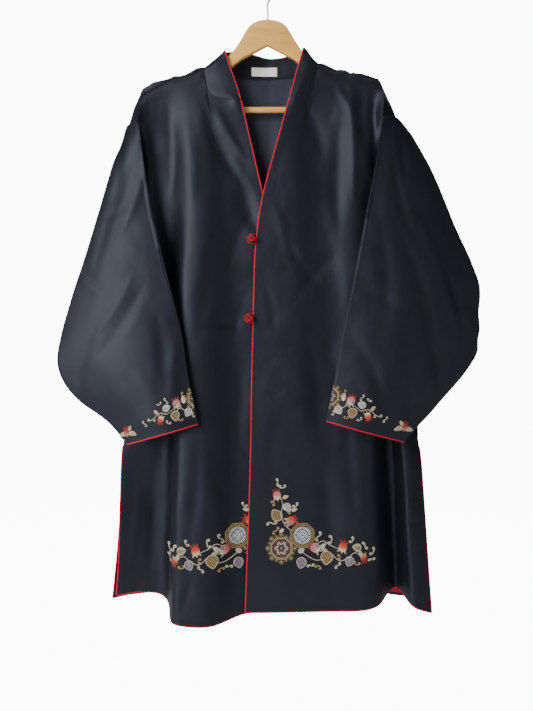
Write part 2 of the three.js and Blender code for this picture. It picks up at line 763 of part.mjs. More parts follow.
function hookGeometry() {
  const bend = HOOK_RADIUS + WIRE_RADIUS;
  const points = [SHANK_FOOT, -75, -60, SHANK_TOP].map((z) => new THREE.Vector3(0, 0, z));
  points.push(new THREE.Vector3(4, 0, SHANK_TOP + 7));
  for (let angle = -40; angle <= 205; angle += 17.5) {
    const turn = THREE.MathUtils.degToRad(angle);
    points.push(new THREE.Vector3(bend * Math.cos(turn), 0, bend * Math.sin(turn) - HOOK_RADIUS));
  }
  return tube(new THREE.CatmullRomCurve3(points, false, "centripetal"), 56, WIRE_RADIUS, 10);
}

function knotGeometry(seatY, x, z) {
  const centreY = seatY - KNOT_RADIUS - SHANK_LENGTH;
  const ball = new THREE.SphereGeometry(KNOT_RADIUS, 14, 10).translate(x, centreY, z);
  const length = seatY - SEAM_GAP - centreY;
  const shank = cylinder(SHANK_RADIUS, length, 10).translate(x, centreY + length / 2, z);
  return bufferGeometry(solid(ball).add(solid(shank)));
}

function loopGeometry(x, y, z, endX) {
  const points = [new THREE.Vector3(endX, y, z + LOOP_RADIUS)];
  for (let angle = 90; angle <= 270; angle += 22.5) {
    const turn = THREE.MathUtils.degToRad(angle);
    points.push(new THREE.Vector3(x + LOOP_RADIUS * Math.cos(turn), y, z + LOOP_RADIUS * Math.sin(turn)));
  }
  points.push(new THREE.Vector3(endX, y, z - LOOP_RADIUS));
  return tube(new CornerPath(points), points.length - 1, CORD_RADIUS, 8);
}

// ---- assembly ----
const jacket = new THREE.Group();
jacket.name = "hanbok_jacket_on_hanger";

const finish = {
  satin: { color: 0x23252f, roughness: 0.45, metalness: 0 },
  lining: { color: 0x12162a, roughness: 0.6, metalness: 0 },
  red: { color: 0xc4142f, roughness: 0.5, metalness: 0 },
  paper: { color: 0xf2f0ec, roughness: 0.8, metalness: 0 },
  wood: { color: 0xd9b07c, roughness: 0.5, metalness: 0 },
  steel: { color: 0x9a9da1, roughness: 0.3, metalness: 1 },
};

function addPiece(name, geometry, look) {
  const mesh = new THREE.Mesh(geometry, new THREE.MeshStandardMaterial(finish[look]));
  mesh.name = name;
  jacket.add(mesh);
}

const back = backSheet();
const sheets = [
  back,
  frontSheet("front_right", SIDES.right, 1),
  frontSheet("front_left", SIDES.left, -1),
  collarSheet(),
  sleeveSheet("sleeve_right", SIDES.right, 1),
  sleeveSheet("sleeve_left", SIDES.left, -1),
];
const seamNormals = new Map();
for (const sheet of sheets) sheet.addNormals(seamNormals);
for (const sheet of sheets) {
  sheet.settle(seamNormals);
  addPiece(sheet.name, sheet.geometry(), "satin");
}
const named = Object.fromEntries(sheets.map((sheet) => [sheet.name, sheet]));

// A layer on the parent's inner face, from one of its columns on.
function addLayer(name, parent, firstColumn, rows, wall, look) {
  const sheet = new Sheet(name, rows, parent.facing, wall);
  sheet.mirrorColumn = parent.mirrorColumn - firstColumn;
  const normals = new Map();
  sheet.addNormals(normals);
  sheet.settle(normals);
  addPiece(name, sheet.geometry(), look);
}

const lastRow = back.rows.length - 1;
const centreColumn = (back.columns - 1) / 2;
const lastColumn = back.columns - 1;
const facingRow = lastRow - FACING_ROWS;
const liningRight = back.lined(LINING_GAP, LINING_TOP, facingRow, LINING_INSET, centreColumn);
const liningLeft = back.lined(LINING_GAP, LINING_TOP, facingRow, centreColumn, lastColumn - LINING_INSET);
addLayer("lining_back_right", back, LINING_INSET, liningRight, LINING, "lining");
addLayer("lining_back_left", back, centreColumn, liningLeft, LINING, "lining");
const facing = back.lined(LINING_GAP, facingRow, lastRow, 1, lastColumn - 1);
addLayer("back_hem_facing", back, 1, facing, LINING, "red");

function labelRows() {
  const rows = [];
  for (const row of [LABEL.low, (LABEL.low + LABEL.high) / 2, LABEL.high]) {
    const points = [];
    for (let n = 0; n <= 6; n++) {
      points.push(named.collar.inside(row, mix(LABEL.from, LABEL.to, n / 6), LABEL.lift));
    }
    rows.push(points);
  }
  return rows;
}
addLayer("label", named.collar, 0, labelRows(), LABEL.wall, "paper");

// Piping runs down each front edge, along the hem and up the vent to where the side seam closes.
const ventRow = (sheet) => sheet.rows.length - 4;
for (const name of ["front_right", "front_left"]) {
  const front = named[name];
  const end = front.rows.length - 1;
  const side = front.columns - 1;
  const stops = [...down(0, end, 0), ...across(1, side, end), ...down(end - 1, ventRow(front), side)];
  addPiece("piping_" + name, pipingGeometry(front, stops), "red");
}
const backEdge = [
  ...down(ventRow(back), lastRow, 0),
  ...across(1, back.columns - 1, lastRow),
  ...down(lastRow - 1, ventRow(back), back.columns - 1),
];
addPiece("piping_back", pipingGeometry(back, backEdge), "red");
const collarTop = across(0, COLLAR.length - 1, 0);
addPiece("piping_collar", pipingGeometry(named.collar, collarTop, COLLAR_SLACK), "red");
for (const side of ["right", "left"]) {
  const sleeve = named["sleeve_" + side];
  const seam = FACE_STEPS + UNDER_STEPS;
  const stops = [];
  for (let n = 0; n <= sleeve.columns; n++) {
    stops.push([sleeve.rows.length - 1, (seam + n) % sleeve.columns]);
  }
  addPiece("piping_cuff_" + side, pipingGeometry(sleeve, stops, CUFF_SLACK, CUFF_JOIN), "red");
}

for (const { name, x, z } of BUTTONS) {
  const edge = lookup(SIDES.left.edge, "z", "x", z);
  const seatY = frontDepth("front_right", SIDES.right, x, z);
  const loopY = frontDepth("front_left", SIDES.left, edge, z) + SATIN / 2;
  addPiece("button_" + name, knotGeometry(seatY, x, z), "red");
  const endX = edge - SEAM_GAP / 2 - 2 * PIPING_RADIUS - 2 * SEAM_GAP;
  addPiece("loop_" + name, loopGeometry(x, loopY, z, endX), "red");
}

addPiece("hanger_body", hangerGeometry(), "wood");
const bar = cylinder(BAR_RADIUS, 2 * BAR_HALF, 20).rotateZ(Math.PI / 2).translate(0, 0, BAR_Z);
addPiece("hanger_bar", bar, "wood");
addPiece("hanger_hook", hookGeometry(), "steel");

export default jacket;
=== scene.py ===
import math

import bpy
import numpy as np
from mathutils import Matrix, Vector, noise
from mathutils.bvhtree import BVHTree


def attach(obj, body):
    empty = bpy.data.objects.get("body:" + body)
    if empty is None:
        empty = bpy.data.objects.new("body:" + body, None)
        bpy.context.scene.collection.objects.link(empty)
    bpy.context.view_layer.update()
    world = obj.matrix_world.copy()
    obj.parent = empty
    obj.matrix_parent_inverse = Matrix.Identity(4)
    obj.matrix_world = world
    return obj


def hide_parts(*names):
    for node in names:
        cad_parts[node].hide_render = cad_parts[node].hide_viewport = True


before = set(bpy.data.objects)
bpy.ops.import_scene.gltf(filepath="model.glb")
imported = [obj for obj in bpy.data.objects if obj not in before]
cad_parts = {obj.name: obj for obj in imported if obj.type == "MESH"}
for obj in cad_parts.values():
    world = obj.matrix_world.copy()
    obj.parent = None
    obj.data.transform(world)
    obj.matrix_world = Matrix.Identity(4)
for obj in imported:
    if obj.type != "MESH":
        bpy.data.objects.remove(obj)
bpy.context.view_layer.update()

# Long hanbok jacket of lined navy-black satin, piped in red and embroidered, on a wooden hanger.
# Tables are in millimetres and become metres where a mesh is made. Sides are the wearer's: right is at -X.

bpy.ops.object.select_all(action="DESELECT")
MM = 0.001


# ---- Satin ---------------------------------------------------------------------------------------
# The outer cloth is a heavy silk-and-rayon satin, dyed navy-black. Its floating warp threads give a soft
# grey sheen and faint slubs along their length.
class Value:
    """A socket that takes part in sums; each sum adds a Math node."""

    def __init__(self, finish, socket):
        self.finish = finish
        self.socket = socket

    def math(self, operation, first, second=0.0):
        return self.finish.node("ShaderNodeMath", {"operation": operation}, {0: first, 1: second})["Value"]

    def __add__(self, other):
        return self.math("ADD", self, other)

    def __mul__(self, other):
        return self.math("MULTIPLY", self, other)

    __radd__ = __add__
    __rmul__ = __mul__


class Finish:
    """One material, whose nodes all come from the node method."""

    def __init__(self, name):
        self.material = bpy.data.materials.new(name)
        self.material.use_nodes = True
        self.tree = self.material.node_tree
        self.tree.nodes.clear()

    def node(self, kind, settings=None, inputs=None):
        node = self.tree.nodes.new(kind)
        for key, value in (settings or {}).items():
            if key == "stops":
                ramp = node.color_ramp
                while len(ramp.elements) < len(value):
                    ramp.elements.new(0.5)
                for element, (place, colour) in zip(ramp.elements, value):
                    element.position = place
                    element.color = (*colour, 1.0)
            else:
                setattr(node, key, value)
        for key, value in (inputs or {}).items():
            socket = node.inputs[key]
            if isinstance(value, Value):
                self.tree.links.new(value.socket, socket)
            elif isinstance(value, tuple) and len(value) == 3 and socket.type == "RGBA":
                socket.default_value = (*value, 1.0)
            else:
                socket.default_value = value
        return {output.name: Value(self, output) for output in node.outputs if output.enabled}

    def uv(self):
        return self.node("ShaderNodeUVMap", {"uv_map": "cut"})["UV"]

    def place(self):
        return self.node("ShaderNodeTexCoord")["Object"]

    def scaled(self, vector, scale, turn=0.0):
        inputs = {"Vector": vector, "Scale": scale, "Rotation": (0.0, 0.0, turn)}
        return self.node("ShaderNodeMapping", {}, inputs)["Vector"]

    def cloud(self, vector, scale, detail=3.0, rough=0.55):
        inputs = {"Vector": vector, "Scale": scale, "Detail": detail, "Roughness": rough}
        return self.node("ShaderNodeTexNoise", {}, inputs)["Fac"]

    def wave(self, vector, scale, direction="X", distortion=0.0):
        settings = {"bands_direction": direction, "wave_profile": "SIN"}
        inputs = {"Vector": vector, "Scale": scale, "Distortion": distortion, "Detail": 1.0}
        return self.node("ShaderNodeTexWave", settings, inputs)["Fac"]

    def ramp(self, value, stops):
        return self.node("ShaderNodeValToRGB", {"stops": stops}, {"Fac": value})["Color"]

    def bump(self, height, strength, distance, over=None):
        inputs = {"Height": height, "Strength": strength, "Distance": distance}
        if over:
            inputs["Normal"] = over
        return self.node("ShaderNodeBump", {}, inputs)["Normal"]

    def surface(self, **sockets):
        inputs = {key.replace("_", " "): value for key, value in sockets.items()}
        shader = self.node("ShaderNodeBsdfPrincipled", {}, inputs)["BSDF"]
        self.node("ShaderNodeOutputMaterial", {}, {"Surface": shader})
        return self.material


def satin(name, dark, light, sheen):
    cloth = Finish(name)
    cut = cloth.uv()
    slub = cloth.cloud(cloth.scaled(cut, (900.0, 60.0, 1.0)), 1.0, 4.0)
    bloom = cloth.cloud(cut, 14.0, 3.0)
    twill = cloth.wave(cloth.scaled(cut, (1.0, 1.0, 1.0), 0.62), 620.0)
    fine = cloth.cloud(cut, 260.0, 2.0)
    rumple = cloth.cloud(cloth.scaled(cut, (1.0, 0.6, 1.0), 0.5), 34.0, 3.0)
    weave = cloth.bump(slub * 0.35 + twill * 0.3 + fine * 0.35, 0.22, 0.0002)
    return cloth.surface(
        Base_Color=cloth.ramp(slub * 0.6 + bloom * 0.4, [(0.3, dark), (0.7, light)]),
        Roughness=0.46 + slub * 0.1 + bloom * 0.06,
        Specular_IOR_Level=0.44,
        Specular_Tint=(0.72, 0.79, 1.0, 1.0),
        Sheen_Weight=sheen,
        Sheen_Roughness=0.4,
        Sheen_Tint=(0.66, 0.66, 1.0, 1.0),
        Normal=cloth.bump(rumple, 0.35, 0.0012, weave),
    )


navy_satin = satin("navy_black_satin", (0.0022, 0.0021, 0.0036), (0.0052, 0.0051, 0.0092), 0.03)


# ---- Stand-up collar -----------------------------------------------------------------------------
# A band of doubled, stiffened satin about 38 mm high. It is sewn round the neck from one front edge to the
# other and stands up against the neck, lower at the front.
COLLAR_WALL = 2.4
COLLAR_ROWS = 2


def table(columns, rows):
    return [dict(zip(columns, row)) for row in rows]


COLLAR = table(
    ["seamX", "seamY", "seamZ", "topX", "topY", "topZ"],
    [
        [57, -21, -221, 39.8, -22, -222],
        [72, -18.5, -207, 45.7, -20, -201.6],
        [79.7, -15, -187, 51.8, -18, -178],
        [85.5, -13, -171.5, 58.7, -15, -155.3],
        [89.8, -10, -160, 62, -13.5, -144],
        [90.7, 0, -155, 65.1, -12, -133],
        [89, 11, -158, 72, 4, -132],
        [66, 22, -169, 54, 18, -131],
        [30, 25, -175, 27, 25, -138],
        [3, 26, -177, 3, 27, -139.5],
        [-26, 25, -176, -25, 25, -133],
        [-66, 22, -171, -56, 19, -130],
        [-108, 12, -166, -82, 4, -135],
        [-113, 0, -162, -77.2, -12, -138.9],
        [-112.5, -10, -167, -74, -13, -149],
        [-110.5, -11.5, -189, -69.9, -14.5, -162],
        [-104, -14, -209, -62.5, -17, -182.7],
        [-90, -18, -222, -55.1, -19, -204.6],
        [-69, -20, -226.8, -48.5, -21, -227.7],
    ],
)


def mix(a, b, t):
    return a + (b - a) * t


def ramp(value, start, end):
    t = np.clip((value - start) / (end - start), 0.0, 1.0)
    return t * t * (3 - 2 * t)


def collar_point(column, row):
    seam = np.array([column["seamX"], column["seamY"], column["seamZ"]], float)
    top = np.array([column["topX"], column["topY"], column["topZ"]], float)
    point = mix(seam, top, row / COLLAR_ROWS)
    if 0 < row < COLLAR_ROWS:
        point[1] += 2 * np.sign(column["seamY"])
    return point


def spline(points, count, corner=None, sharp=0.0):
    """Evenly spaced places on a smooth curve through the points of the first axis.

    Where sharp is 1, the curve turns a corner at the point named corner.
    """
    step = np.linalg.norm(np.diff(points, axis=0), axis=-1)
    step = step.reshape(len(step), -1).mean(axis=1)
    at = np.concatenate([[0.0], np.cumsum(step)])
    arriving = np.gradient(points, at, axis=0)
    leaving = arriving.copy()
    places = np.linspace(0.0, at[-1], count)
    if corner is not None:
        chords = np.diff(points, axis=0) / step.reshape((-1,) + (1,) * (points.ndim - 1))
        arriving[corner] = mix(arriving[corner], chords[corner - 1], sharp)
        leaving[corner] = mix(leaving[corner], chords[corner], sharp)
        places[np.argmin(np.abs(places - at[corner]))] = at[corner]
    k = np.clip(np.searchsorted(at, places, side="right") - 1, 0, len(at) - 2)
    width = at[k + 1] - at[k]
    shape = (count,) + (1,) * (points.ndim - 1)
    t = ((places - at[k]) / width).reshape(shape)
    width = width.reshape(shape)
    start = points[k] * (2 * t**3 - 3 * t**2 + 1) + leaving[k] * width * (t**3 - 2 * t**2 + t)
    end = points[k + 1] * (3 * t**2 - 2 * t**3) + arriving[k + 1] * width * (t**3 - t**2)
    return start + end


def length(points):
    return float(np.linalg.norm(np.diff(points, axis=0), axis=-1).sum())


def fair(grid, spacing, corner=None, sharp=0.0):
    """A grid of control points made smooth and dense, with places about this far apart."""
    rows = max(int(length(grid[:, grid.shape[1] // 2]) / spacing), 4)
    columns = max(int(length(grid[-1]) / spacing), 4)
    return spline(spline(grid, rows, corner, sharp).swapaxes(0, 1), columns).swapaxes(0, 1)


def outward(grid, facing, closed=False):
    """Unit normals on the cloth's outer face."""
    if closed:
        along = np.roll(grid, -1, axis=1) - np.roll(grid, 1, axis=1)
    else:
        along = np.gradient(grid, axis=1)
    normal = np.cross(along, np.gradient(grid, axis=0)) * facing
    return normal / np.maximum(np.linalg.norm(normal, axis=-1, keepdims=True), 1e-9)


def new_piece(name, verts, faces, finish, marks=None):
    """A linked object; marks place each face's corners on the cut, in metres."""
    mesh = bpy.data.meshes.new(name)
    mesh.from_pydata(verts, [], faces)
    if marks:
        mesh.uv_layers.new(name="cut").data.foreach_set("uv", np.array(marks, float).ravel())
    mesh.materials.append(finish)
    piece = bpy.data.objects.new(name, mesh)
    bpy.context.collection.objects.link(piece)
    return piece


def cloth(name, grid, facing, wall, finish, closed=False):
    """A panel: the dense grid is its outer face, with its wall inside and its cut as its UV map."""
    rows, columns = grid.shape[:2]
    spans = columns if closed else columns - 1
    across = np.concatenate([[0.0], np.cumsum(np.linalg.norm(np.diff(grid[rows // 2], axis=0), axis=1))])
    across = np.append(across, across[-1] + np.linalg.norm(grid[rows // 2, 0] - grid[rows // 2, -1]))
    down = np.concatenate([[0.0], np.cumsum(np.linalg.norm(np.diff(grid[:, columns // 2], axis=0), axis=1))])
    faces = []
    marks = []
    for i in range(rows - 1):
        for j in range(spans):
            k = (j + 1) % columns
            corners = [(i, j, j), (i, k, j + 1), (i + 1, k, j + 1), (i + 1, j, j)]
            if facing < 0:
                corners.reverse()
            faces.append([row * columns + column for row, column, _ in corners])
            marks.extend((across[mark] * MM, down[row] * MM) for row, _, mark in corners)
    piece = new_piece(name, (grid.reshape(-1, 3) * MM).tolist(), faces, finish, marks)
    bpy.context.view_layer.objects.active = piece
    piece.select_set(True)
    shell = piece.modifiers.new("wall", "SOLIDIFY")
    shell.thickness = wall * MM
    shell.offset = -1.0
    bpy.ops.object.modifier_apply(modifier="wall")
    bpy.ops.object.shade_smooth_by_angle(angle=math.radians(50))
    piece.select_set(False)
    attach(piece, "root")
    return piece


collar_control = np.array([[collar_point(column, r) for column in COLLAR] for r in (2, 1, 0)])
collar_grid = fair(collar_control, 2.5)
# The seam to the body is a fine groove, and the band has a few soft dents from folding.
groove = np.exp(-((np.linspace(1, 0, len(collar_grid)) * 36 / 2.2) ** 2))
collar_out = outward(collar_grid, -1)
collar_grid = collar_grid - collar_out * groove[:, None, None] * 0.4
dents = np.array([[noise.noise(Vector(p) * 0.045) for p in row] for row in collar_grid])
collar_grid = collar_grid + outward(collar_grid, -1) * dents[..., None] * 1.1
collar_seam = collar_grid[-1].copy()
# Its raw edge is tucked in under the seam.
allowance = collar_seam + (collar_seam - collar_grid[-2]) * 1.2 - outward(collar_grid, -1)[-1] * 1.3
collar = cloth("collar_band", np.concatenate([collar_grid, allowance[None]]), -1, COLLAR_WALL, navy_satin)
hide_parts("collar")


# ---- Fronts and back -----------------------------------------------------------------------------
# Each front is one panel from the shoulder to the hem. The back is one wide panel that wraps round both
# sides to the armhole seams. They hang from the ridge of the hanger's arms in long soft folds.
SATIN = 1.6
RIDGE = 11.0
FRONT_SLOPE = 0.048
BACK_SLOPE = 0.045
LAP = 3.3
SETTLE = 60.0
SHOULDER_TURN = 0.93
SIDE_TURN = 0.87
BRIM = 0.9
RIDGE_DROPS = [0.0, 3.0, RIDGE]
FACE_STEPS = 5
UNDER_STEPS = 3
CHEST_Z = -260.0
HEM_Z = -1124.0
BACK_CENTRE = 3.0
PANEL_SPACING = 4.6
NECK_REACH = 9.0

SIDES = {
    "right": {
        "neck": [18, 17, 16, 15, 14, 13],
        "shoulder": [[-131, -173], [-147, -178], [-162, -181.5], [-185, -190], [-200, -198.5], [-212, -204],
                     [-221, -206]],
        "drop": table(["z", "x", "y", "out"], [
            [-206, -221, 0, -221], [-209, -223, -2, -225], [-217, -227, -7, -231], [-240, -229.5, -20, -243],
            [-264, -230, -28, -251]]),
        "armhole_back": [[-251, -12, -271], [-264, 2, -302], [-254, 24, -360], [-245, 12, -470]],
        "armhole_front": [[-228, -10, -330], [-235, -8, -400], [-245, 12, -470]],
        "side": table(["z", "frontX", "frontY", "backX", "backY"], [
            [-560, -249, 11, -249, 11], [-650, -252, 8, -252, 8], [-740, -256, 4, -256, 4],
            [-830, -259, 0, -259, 0], [-850, -260, -4, -261, 4], [-940, -263, -7, -266, 12],
            [-1060, -267, -5, -276, 18]]),
        "front_corner": [-271, -2, -1112],
        "back_corner": [-283, 22, -1123],
        "edge": [[-227, -48.5], [-371, -15], [-400, -8], [-450, 4], [-520, 13], [-620, 18], [-1125, 24]],
        "hem": [[24, -1123], [-36, -1126], [-78, -1136], [-101, -1138.5], [-132, -1138], [-169, -1133],
                [-186, -1114], [-220, -1107], [-271, -1112]],
        "hem_columns": [24, 2, -20, -40, -60, -82, -105, -130, -150, -162, -170, -180, -190, -228, -271],
        "lap": LAP,
    },
    "left": {
        "neck": [0, 1, 2, 3, 4, 5],
        "shoulder": [[115, -167.5], [128, -170], [138, -174.7], [153, -172.7], [169, -179], [184, -181.7],
                     [198, -183]],
        "drop": table(["z", "x", "y", "out"], [
            [-183, 198, 0, 198], [-186, 200, -2, 202], [-194, 203, -7, 208], [-225, 206, -20, 226],
            [-256, 203, -28, 240]]),
        "armhole_back": [[231, -13, -257], [253, 1, -275], [249, 24, -345], [250, 12, -470]],
        "armhole_front": [[208, -10, -322], [226, -8, -392], [250, 12, -470]],
        "side": table(["z", "frontX", "frontY", "backX", "backY"], [
            [-560, 256, 12, 256, 12], [-650, 262, 10, 262, 10], [-740, 267, 6, 267, 6],
            [-830, 271, 0, 271, 0], [-850, 273, -5, 271, 5], [-940, 279, -12, 275, 16],
            [-1060, 285, -22, 281, 26]]),
        "front_corner": [289, -28, -1134.7],
        "back_corner": [285, 34, -1124],
        "edge": [[-222, 39.8], [-372, -1.5], [-407, -9.4], [-456, -17.1], [-487, -20.3], [-533, -22.7],
                 [-613, -24.3], [-727, -27.1], [-839, -28.5], [-990, -32.7], [-1103, -37.5], [-1124, -38]],
        "hem": [[-38, -1124], [55, -1122.5], [153, -1120.6], [189, -1116], [231, -1098], [252, -1118],
                [289, -1134.7]],
        "hem_columns": [-38, -14, 10, 34, 60, 86, 112, 136, 158, 178, 194, 211, 231, 252, 289],
        "lap": -LAP,
    },
}
FOLD = ["chest_from", "chest_to", "chest_depth", "hem_from", "hem_to", "hem_depth"]
FOLDS = {
    "front_right": table(FOLD, [
        [-70, -122, -8, -40, -105, -34], [-140, -166, 12, -160, -184, 95],
        [-198, -213, -9, -222, -262, -12]]),
    "front_left": table(FOLD, [
        [48, 78, 7, 60, 110, -3], [112, 140, -10, 112, 150, -3], [168, 190, 4, 184, 228, 68],
        [196, 206, 0, 231, 250, -44]]),
    "back": table(FOLD, [
        [-150, -190, -6, -205, -245, -22], [-70, -110, 6, -95, -140, 18], [20, 60, -3, 30, 75, -10],
        [95, 130, 5, 120, 165, 20], [165, 195, -6, 205, 250, -24]]),
}


def lookup(rows, value):
    """Straight interpolation between pairs, whichever way they run."""
    pairs = np.array(sorted(rows), float)
    return float(np.interp(value, pairs[:, 0], pairs[:, 1]))


def ridge_height(x):
    side = SIDES["right" if x < BACK_CENTRE else "left"]
    neck = COLLAR[side["neck"][-1]]
    return lookup([[neck["seamX"], neck["seamZ"]], *side["shoulder"]], x)


def hang(drop, slope):
    bend = min(max(drop, 0.0), RIDGE)
    return math.sqrt(RIDGE**2 - (RIDGE - bend) ** 2) + slope * max(drop - RIDGE, 0.0)


def fold_depth(folds, x, z):
    down = min(max((CHEST_Z - z) / (CHEST_Z - HEM_Z), 0.0), 1.0)
    total = 0.0
    for fold in folds:
        start = mix(fold["chest_from"], fold["hem_from"], down)
        end = mix(fold["chest_to"], fold["hem_to"], down)
        total += mix(fold["chest_depth"], fold["hem_depth"], down) * ramp(x, start, end)
    return total * ramp(z, -190, CHEST_Z)


def front_depth(name, side, x, z):
    lapped = ramp(z, -290, -400) * (1 - ramp(abs(x), 45, 110))
    return -hang(ridge_height(x) - z, FRONT_SLOPE) + fold_depth(FOLDS[name], x, z) + side["lap"] * lapped


def back_depth(x, z):
    return hang(ridge_height(x) - z, BACK_SLOPE) + fold_depth(FOLDS["back"], x, z)


def through(points, steps):
    """A curve through the points, at this many equal steps of its parameter."""
    points = np.array(points, float)
    knots = np.concatenate([[0.0], np.cumsum(np.linalg.norm(np.diff(points, axis=0), axis=1) ** 0.5)])
    slope = np.gradient(points, knots, axis=0)
    curve = []
    for place in np.linspace(0, len(points) - 1, steps + 1):
        k = min(int(place), len(points) - 2)
        t = place - k
        width = knots[k + 1] - knots[k]
        start = points[k] * (2 * t**3 - 3 * t**2 + 1) + slope[k] * width * (t**3 - 2 * t**2 + t)
        end = points[k + 1] * (3 * t**2 - 2 * t**3) + slope[k + 1] * width * (t**3 - t**2)
        curve.append(start + end)
    return curve


def drop_point(side):
    last = side["drop"][-1]
    return [last["x"], last["y"], last["z"]]


def armhole_front(side):
    return through([drop_point(side), *side["armhole_front"]], FACE_STEPS)


def armhole_back(side):
    points = side["armhole_back"]
    return through([drop_point(side), *points[:2]], FACE_STEPS) + through(points[1:], UNDER_STEPS)[1:]


def side_points(side, face):
    hole = armhole_front(side) if face == "front" else armhole_back(side)
    drop = [[row["x"], row["y"], row["z"]] for row in side["drop"]]
    seam = [[row[face + "X"], row[face + "Y"], row["z"]] for row in side["side"]]
    return np.array([*drop, *hole[1:], *seam, side[face + "_corner"]], float)


def row_share(n, line, top, bottom):
    if n < len(RIDGE_DROPS):
        return RIDGE_DROPS[n] / (top - bottom)
    return (line[0][2] - line[n][2]) / (line[0][2] - line[-1][2])


def front_control(name, side):
    start = COLLAR[side["neck"][0]]
    top = [collar_point(start, r) for r in (2, 1)]
    top += [collar_point(COLLAR[index], 0) for index in side["neck"]]
    top += [np.array([x, 0.0, z]) for x, z in side["shoulder"]]
    line = side_points(side, "front")
    columns = side["hem_columns"]
    rows = [top]
    for n in range(1, len(line)):
        turn_from = mix(SHOULDER_TURN, SIDE_TURN, ramp(n, len(side["drop"]) - 1, len(side["drop"]) + 5))
        row = []
        for j, begin in enumerate(top[:-1]):
            hem_z = lookup(side["hem"], columns[j])
            share = row_share(n, line, begin[2], hem_z)
            z = mix(begin[2], hem_z, share)
            edge_x = lookup(side["edge"], mix(top[0][2], lookup(side["hem"], columns[0]), share))
            top_share = (begin[0] - top[0][0]) / (line[0][0] - top[0][0])
            hem_share = (columns[j] - columns[0]) / (columns[-1] - columns[0])
            f = mix(top_share, hem_share, ramp(share, 0, 0.5))
            x = mix(edge_x, line[n][0], f)
            own = begin[1] - front_depth(name, side, begin[0], begin[2])
            y = front_depth(name, side, x, z) + own * math.exp(-(begin[2] - z) / SETTLE)
            row.append([x, mix(y, line[n][1], ramp(f, turn_from, 1)), z])
        rows.append(row + [line[n]])
    return np.array(rows, float)


def back_control():
    left, right = SIDES["left"], SIDES["right"]
    neck = [collar_point(column, 0) for column in COLLAR[left["neck"][-1] : right["neck"][-1] + 1]]
    top = [np.array([x, 0.0, z]) for x, z in reversed(right["shoulder"])]
    top += neck[::-1] + [np.array([x, 0.0, z]) for x, z in left["shoulder"]]
    lines = {"right": side_points(right, "back"), "left": side_points(left, "back")}
    centre = (len(top) - 1) / 2
    rows = [top]
    for n in range(1, len(lines["right"])):
        row = []
        for j, begin in enumerate(top):
            name = "right" if j < centre else "left"
            side, line = SIDES[name], lines[name]
            place = line[n]
            if j in (0, len(top) - 1):
                row.append(place)
                continue
            hem_share = abs(j - centre) / centre
            hem_z = mix(HEM_Z, line[-1][2], hem_share)
            share = row_share(n, line, begin[2], hem_z)
            z = mix(begin[2], hem_z, share)
            top_share = (begin[0] - BACK_CENTRE) / (line[0][0] - BACK_CENTRE)
            f = mix(top_share, hem_share, ramp(share, 0, 0.4))
            first = len(side["drop"])
            under = ramp(place[2], line[first][2], line[first + FACE_STEPS][2])
            out = mix(lookup([[r["z"], r["out"]] for r in side["drop"]], place[2]), place[0], under)
            brim = mix(BRIM, 1.0, under)
            x = mix(mix(BACK_CENTRE, out, min(f / brim, 1.0)), place[0], ramp(f, brim, 1.001))
            fade = math.exp(-(begin[2] - z) / SETTLE)
            y = back_depth(x, z) + (begin[1] - back_depth(begin[0], begin[2])) * fade
            turn_from = mix(SHOULDER_TURN, SIDE_TURN, ramp(n, first - 1, first + 5))
            row.append([x, mix(y, place[1], ramp(f, turn_from, 1)), z])
        rows.append(row)
    return np.array(rows, float)


def eased(grid, reach, sides):
    """The cloth relaxes sideways below the neck, where its threads crowd together, but not at its sides."""
    down = np.arange(len(grid))[:, None, None]
    across = np.arange(grid.shape[1])[None, :, None]
    hold = ramp(down, 2, 9) * (1 - 0.75 * ramp(down, reach, 2 * reach)) * 0.5
    hold = hold * ramp(grid.shape[1] - 1 - across, 14, 26)
    if sides == 2:
        hold = hold * ramp(across, 14, 26)
    for _ in range(46):
        middle = (grid[:, :-2] + grid[:, 2:]) / 2
        grid[:, 1:-1] += (middle - grid[:, 1:-1]) * hold[:, 1:-1]
    return grid


DROP_ROW = 4


def body_panel(control, ends):
    """A dense panel whose side edges turn a corner where the sleeve starts."""
    sharp = np.zeros((control.shape[1], 1))
    for end in ends:
        for n, amount in enumerate((1.0, 1.0, 1.0, 0.7, 0.35)):
            sharp[end + n if end == 0 else end - n] = amount
    return eased(fair(control, PANEL_SPACING, DROP_ROW, sharp), 40, len(ends))


def sewn(grid, edge, within):
    """The top row drawn onto the edge that it is sewn to, where it lies this near."""
    start, run = edge[:-1], np.diff(edge, axis=0)
    moved = np.zeros_like(grid[0])
    for j, point in enumerate(grid[0]):
        t = np.clip(((point - start) * run).sum(axis=1) / np.maximum((run * run).sum(axis=1), 1e-9), 0, 1)
        near = start + run * t[:, None]
        k = int(np.argmin(np.linalg.norm(near - point, axis=1)))
        beyond = (k == 0 and t[k] == 0) or (k == len(run) - 1 and t[k] == 1)
        if not beyond and np.linalg.norm(near[k] - point) < within:
            moved[j] = near[k] - point
    fade = 1 - ramp(np.arange(len(grid)), 0, 8)
    return grid + moved[None] * fade[:, None, None]


def neck_seam(first, last):
    """The collar's seam between two of its columns."""
    ends = [collar_point(COLLAR[k], 0) for k in sorted((first, last))]
    a, b = (int(np.argmin(np.linalg.norm(collar_seam - end, axis=1))) for end in ends)
    return collar_seam[a : b + 1]


CREASE = ["x0", "z0", "x1", "z1", "width", "depth", "bow"]


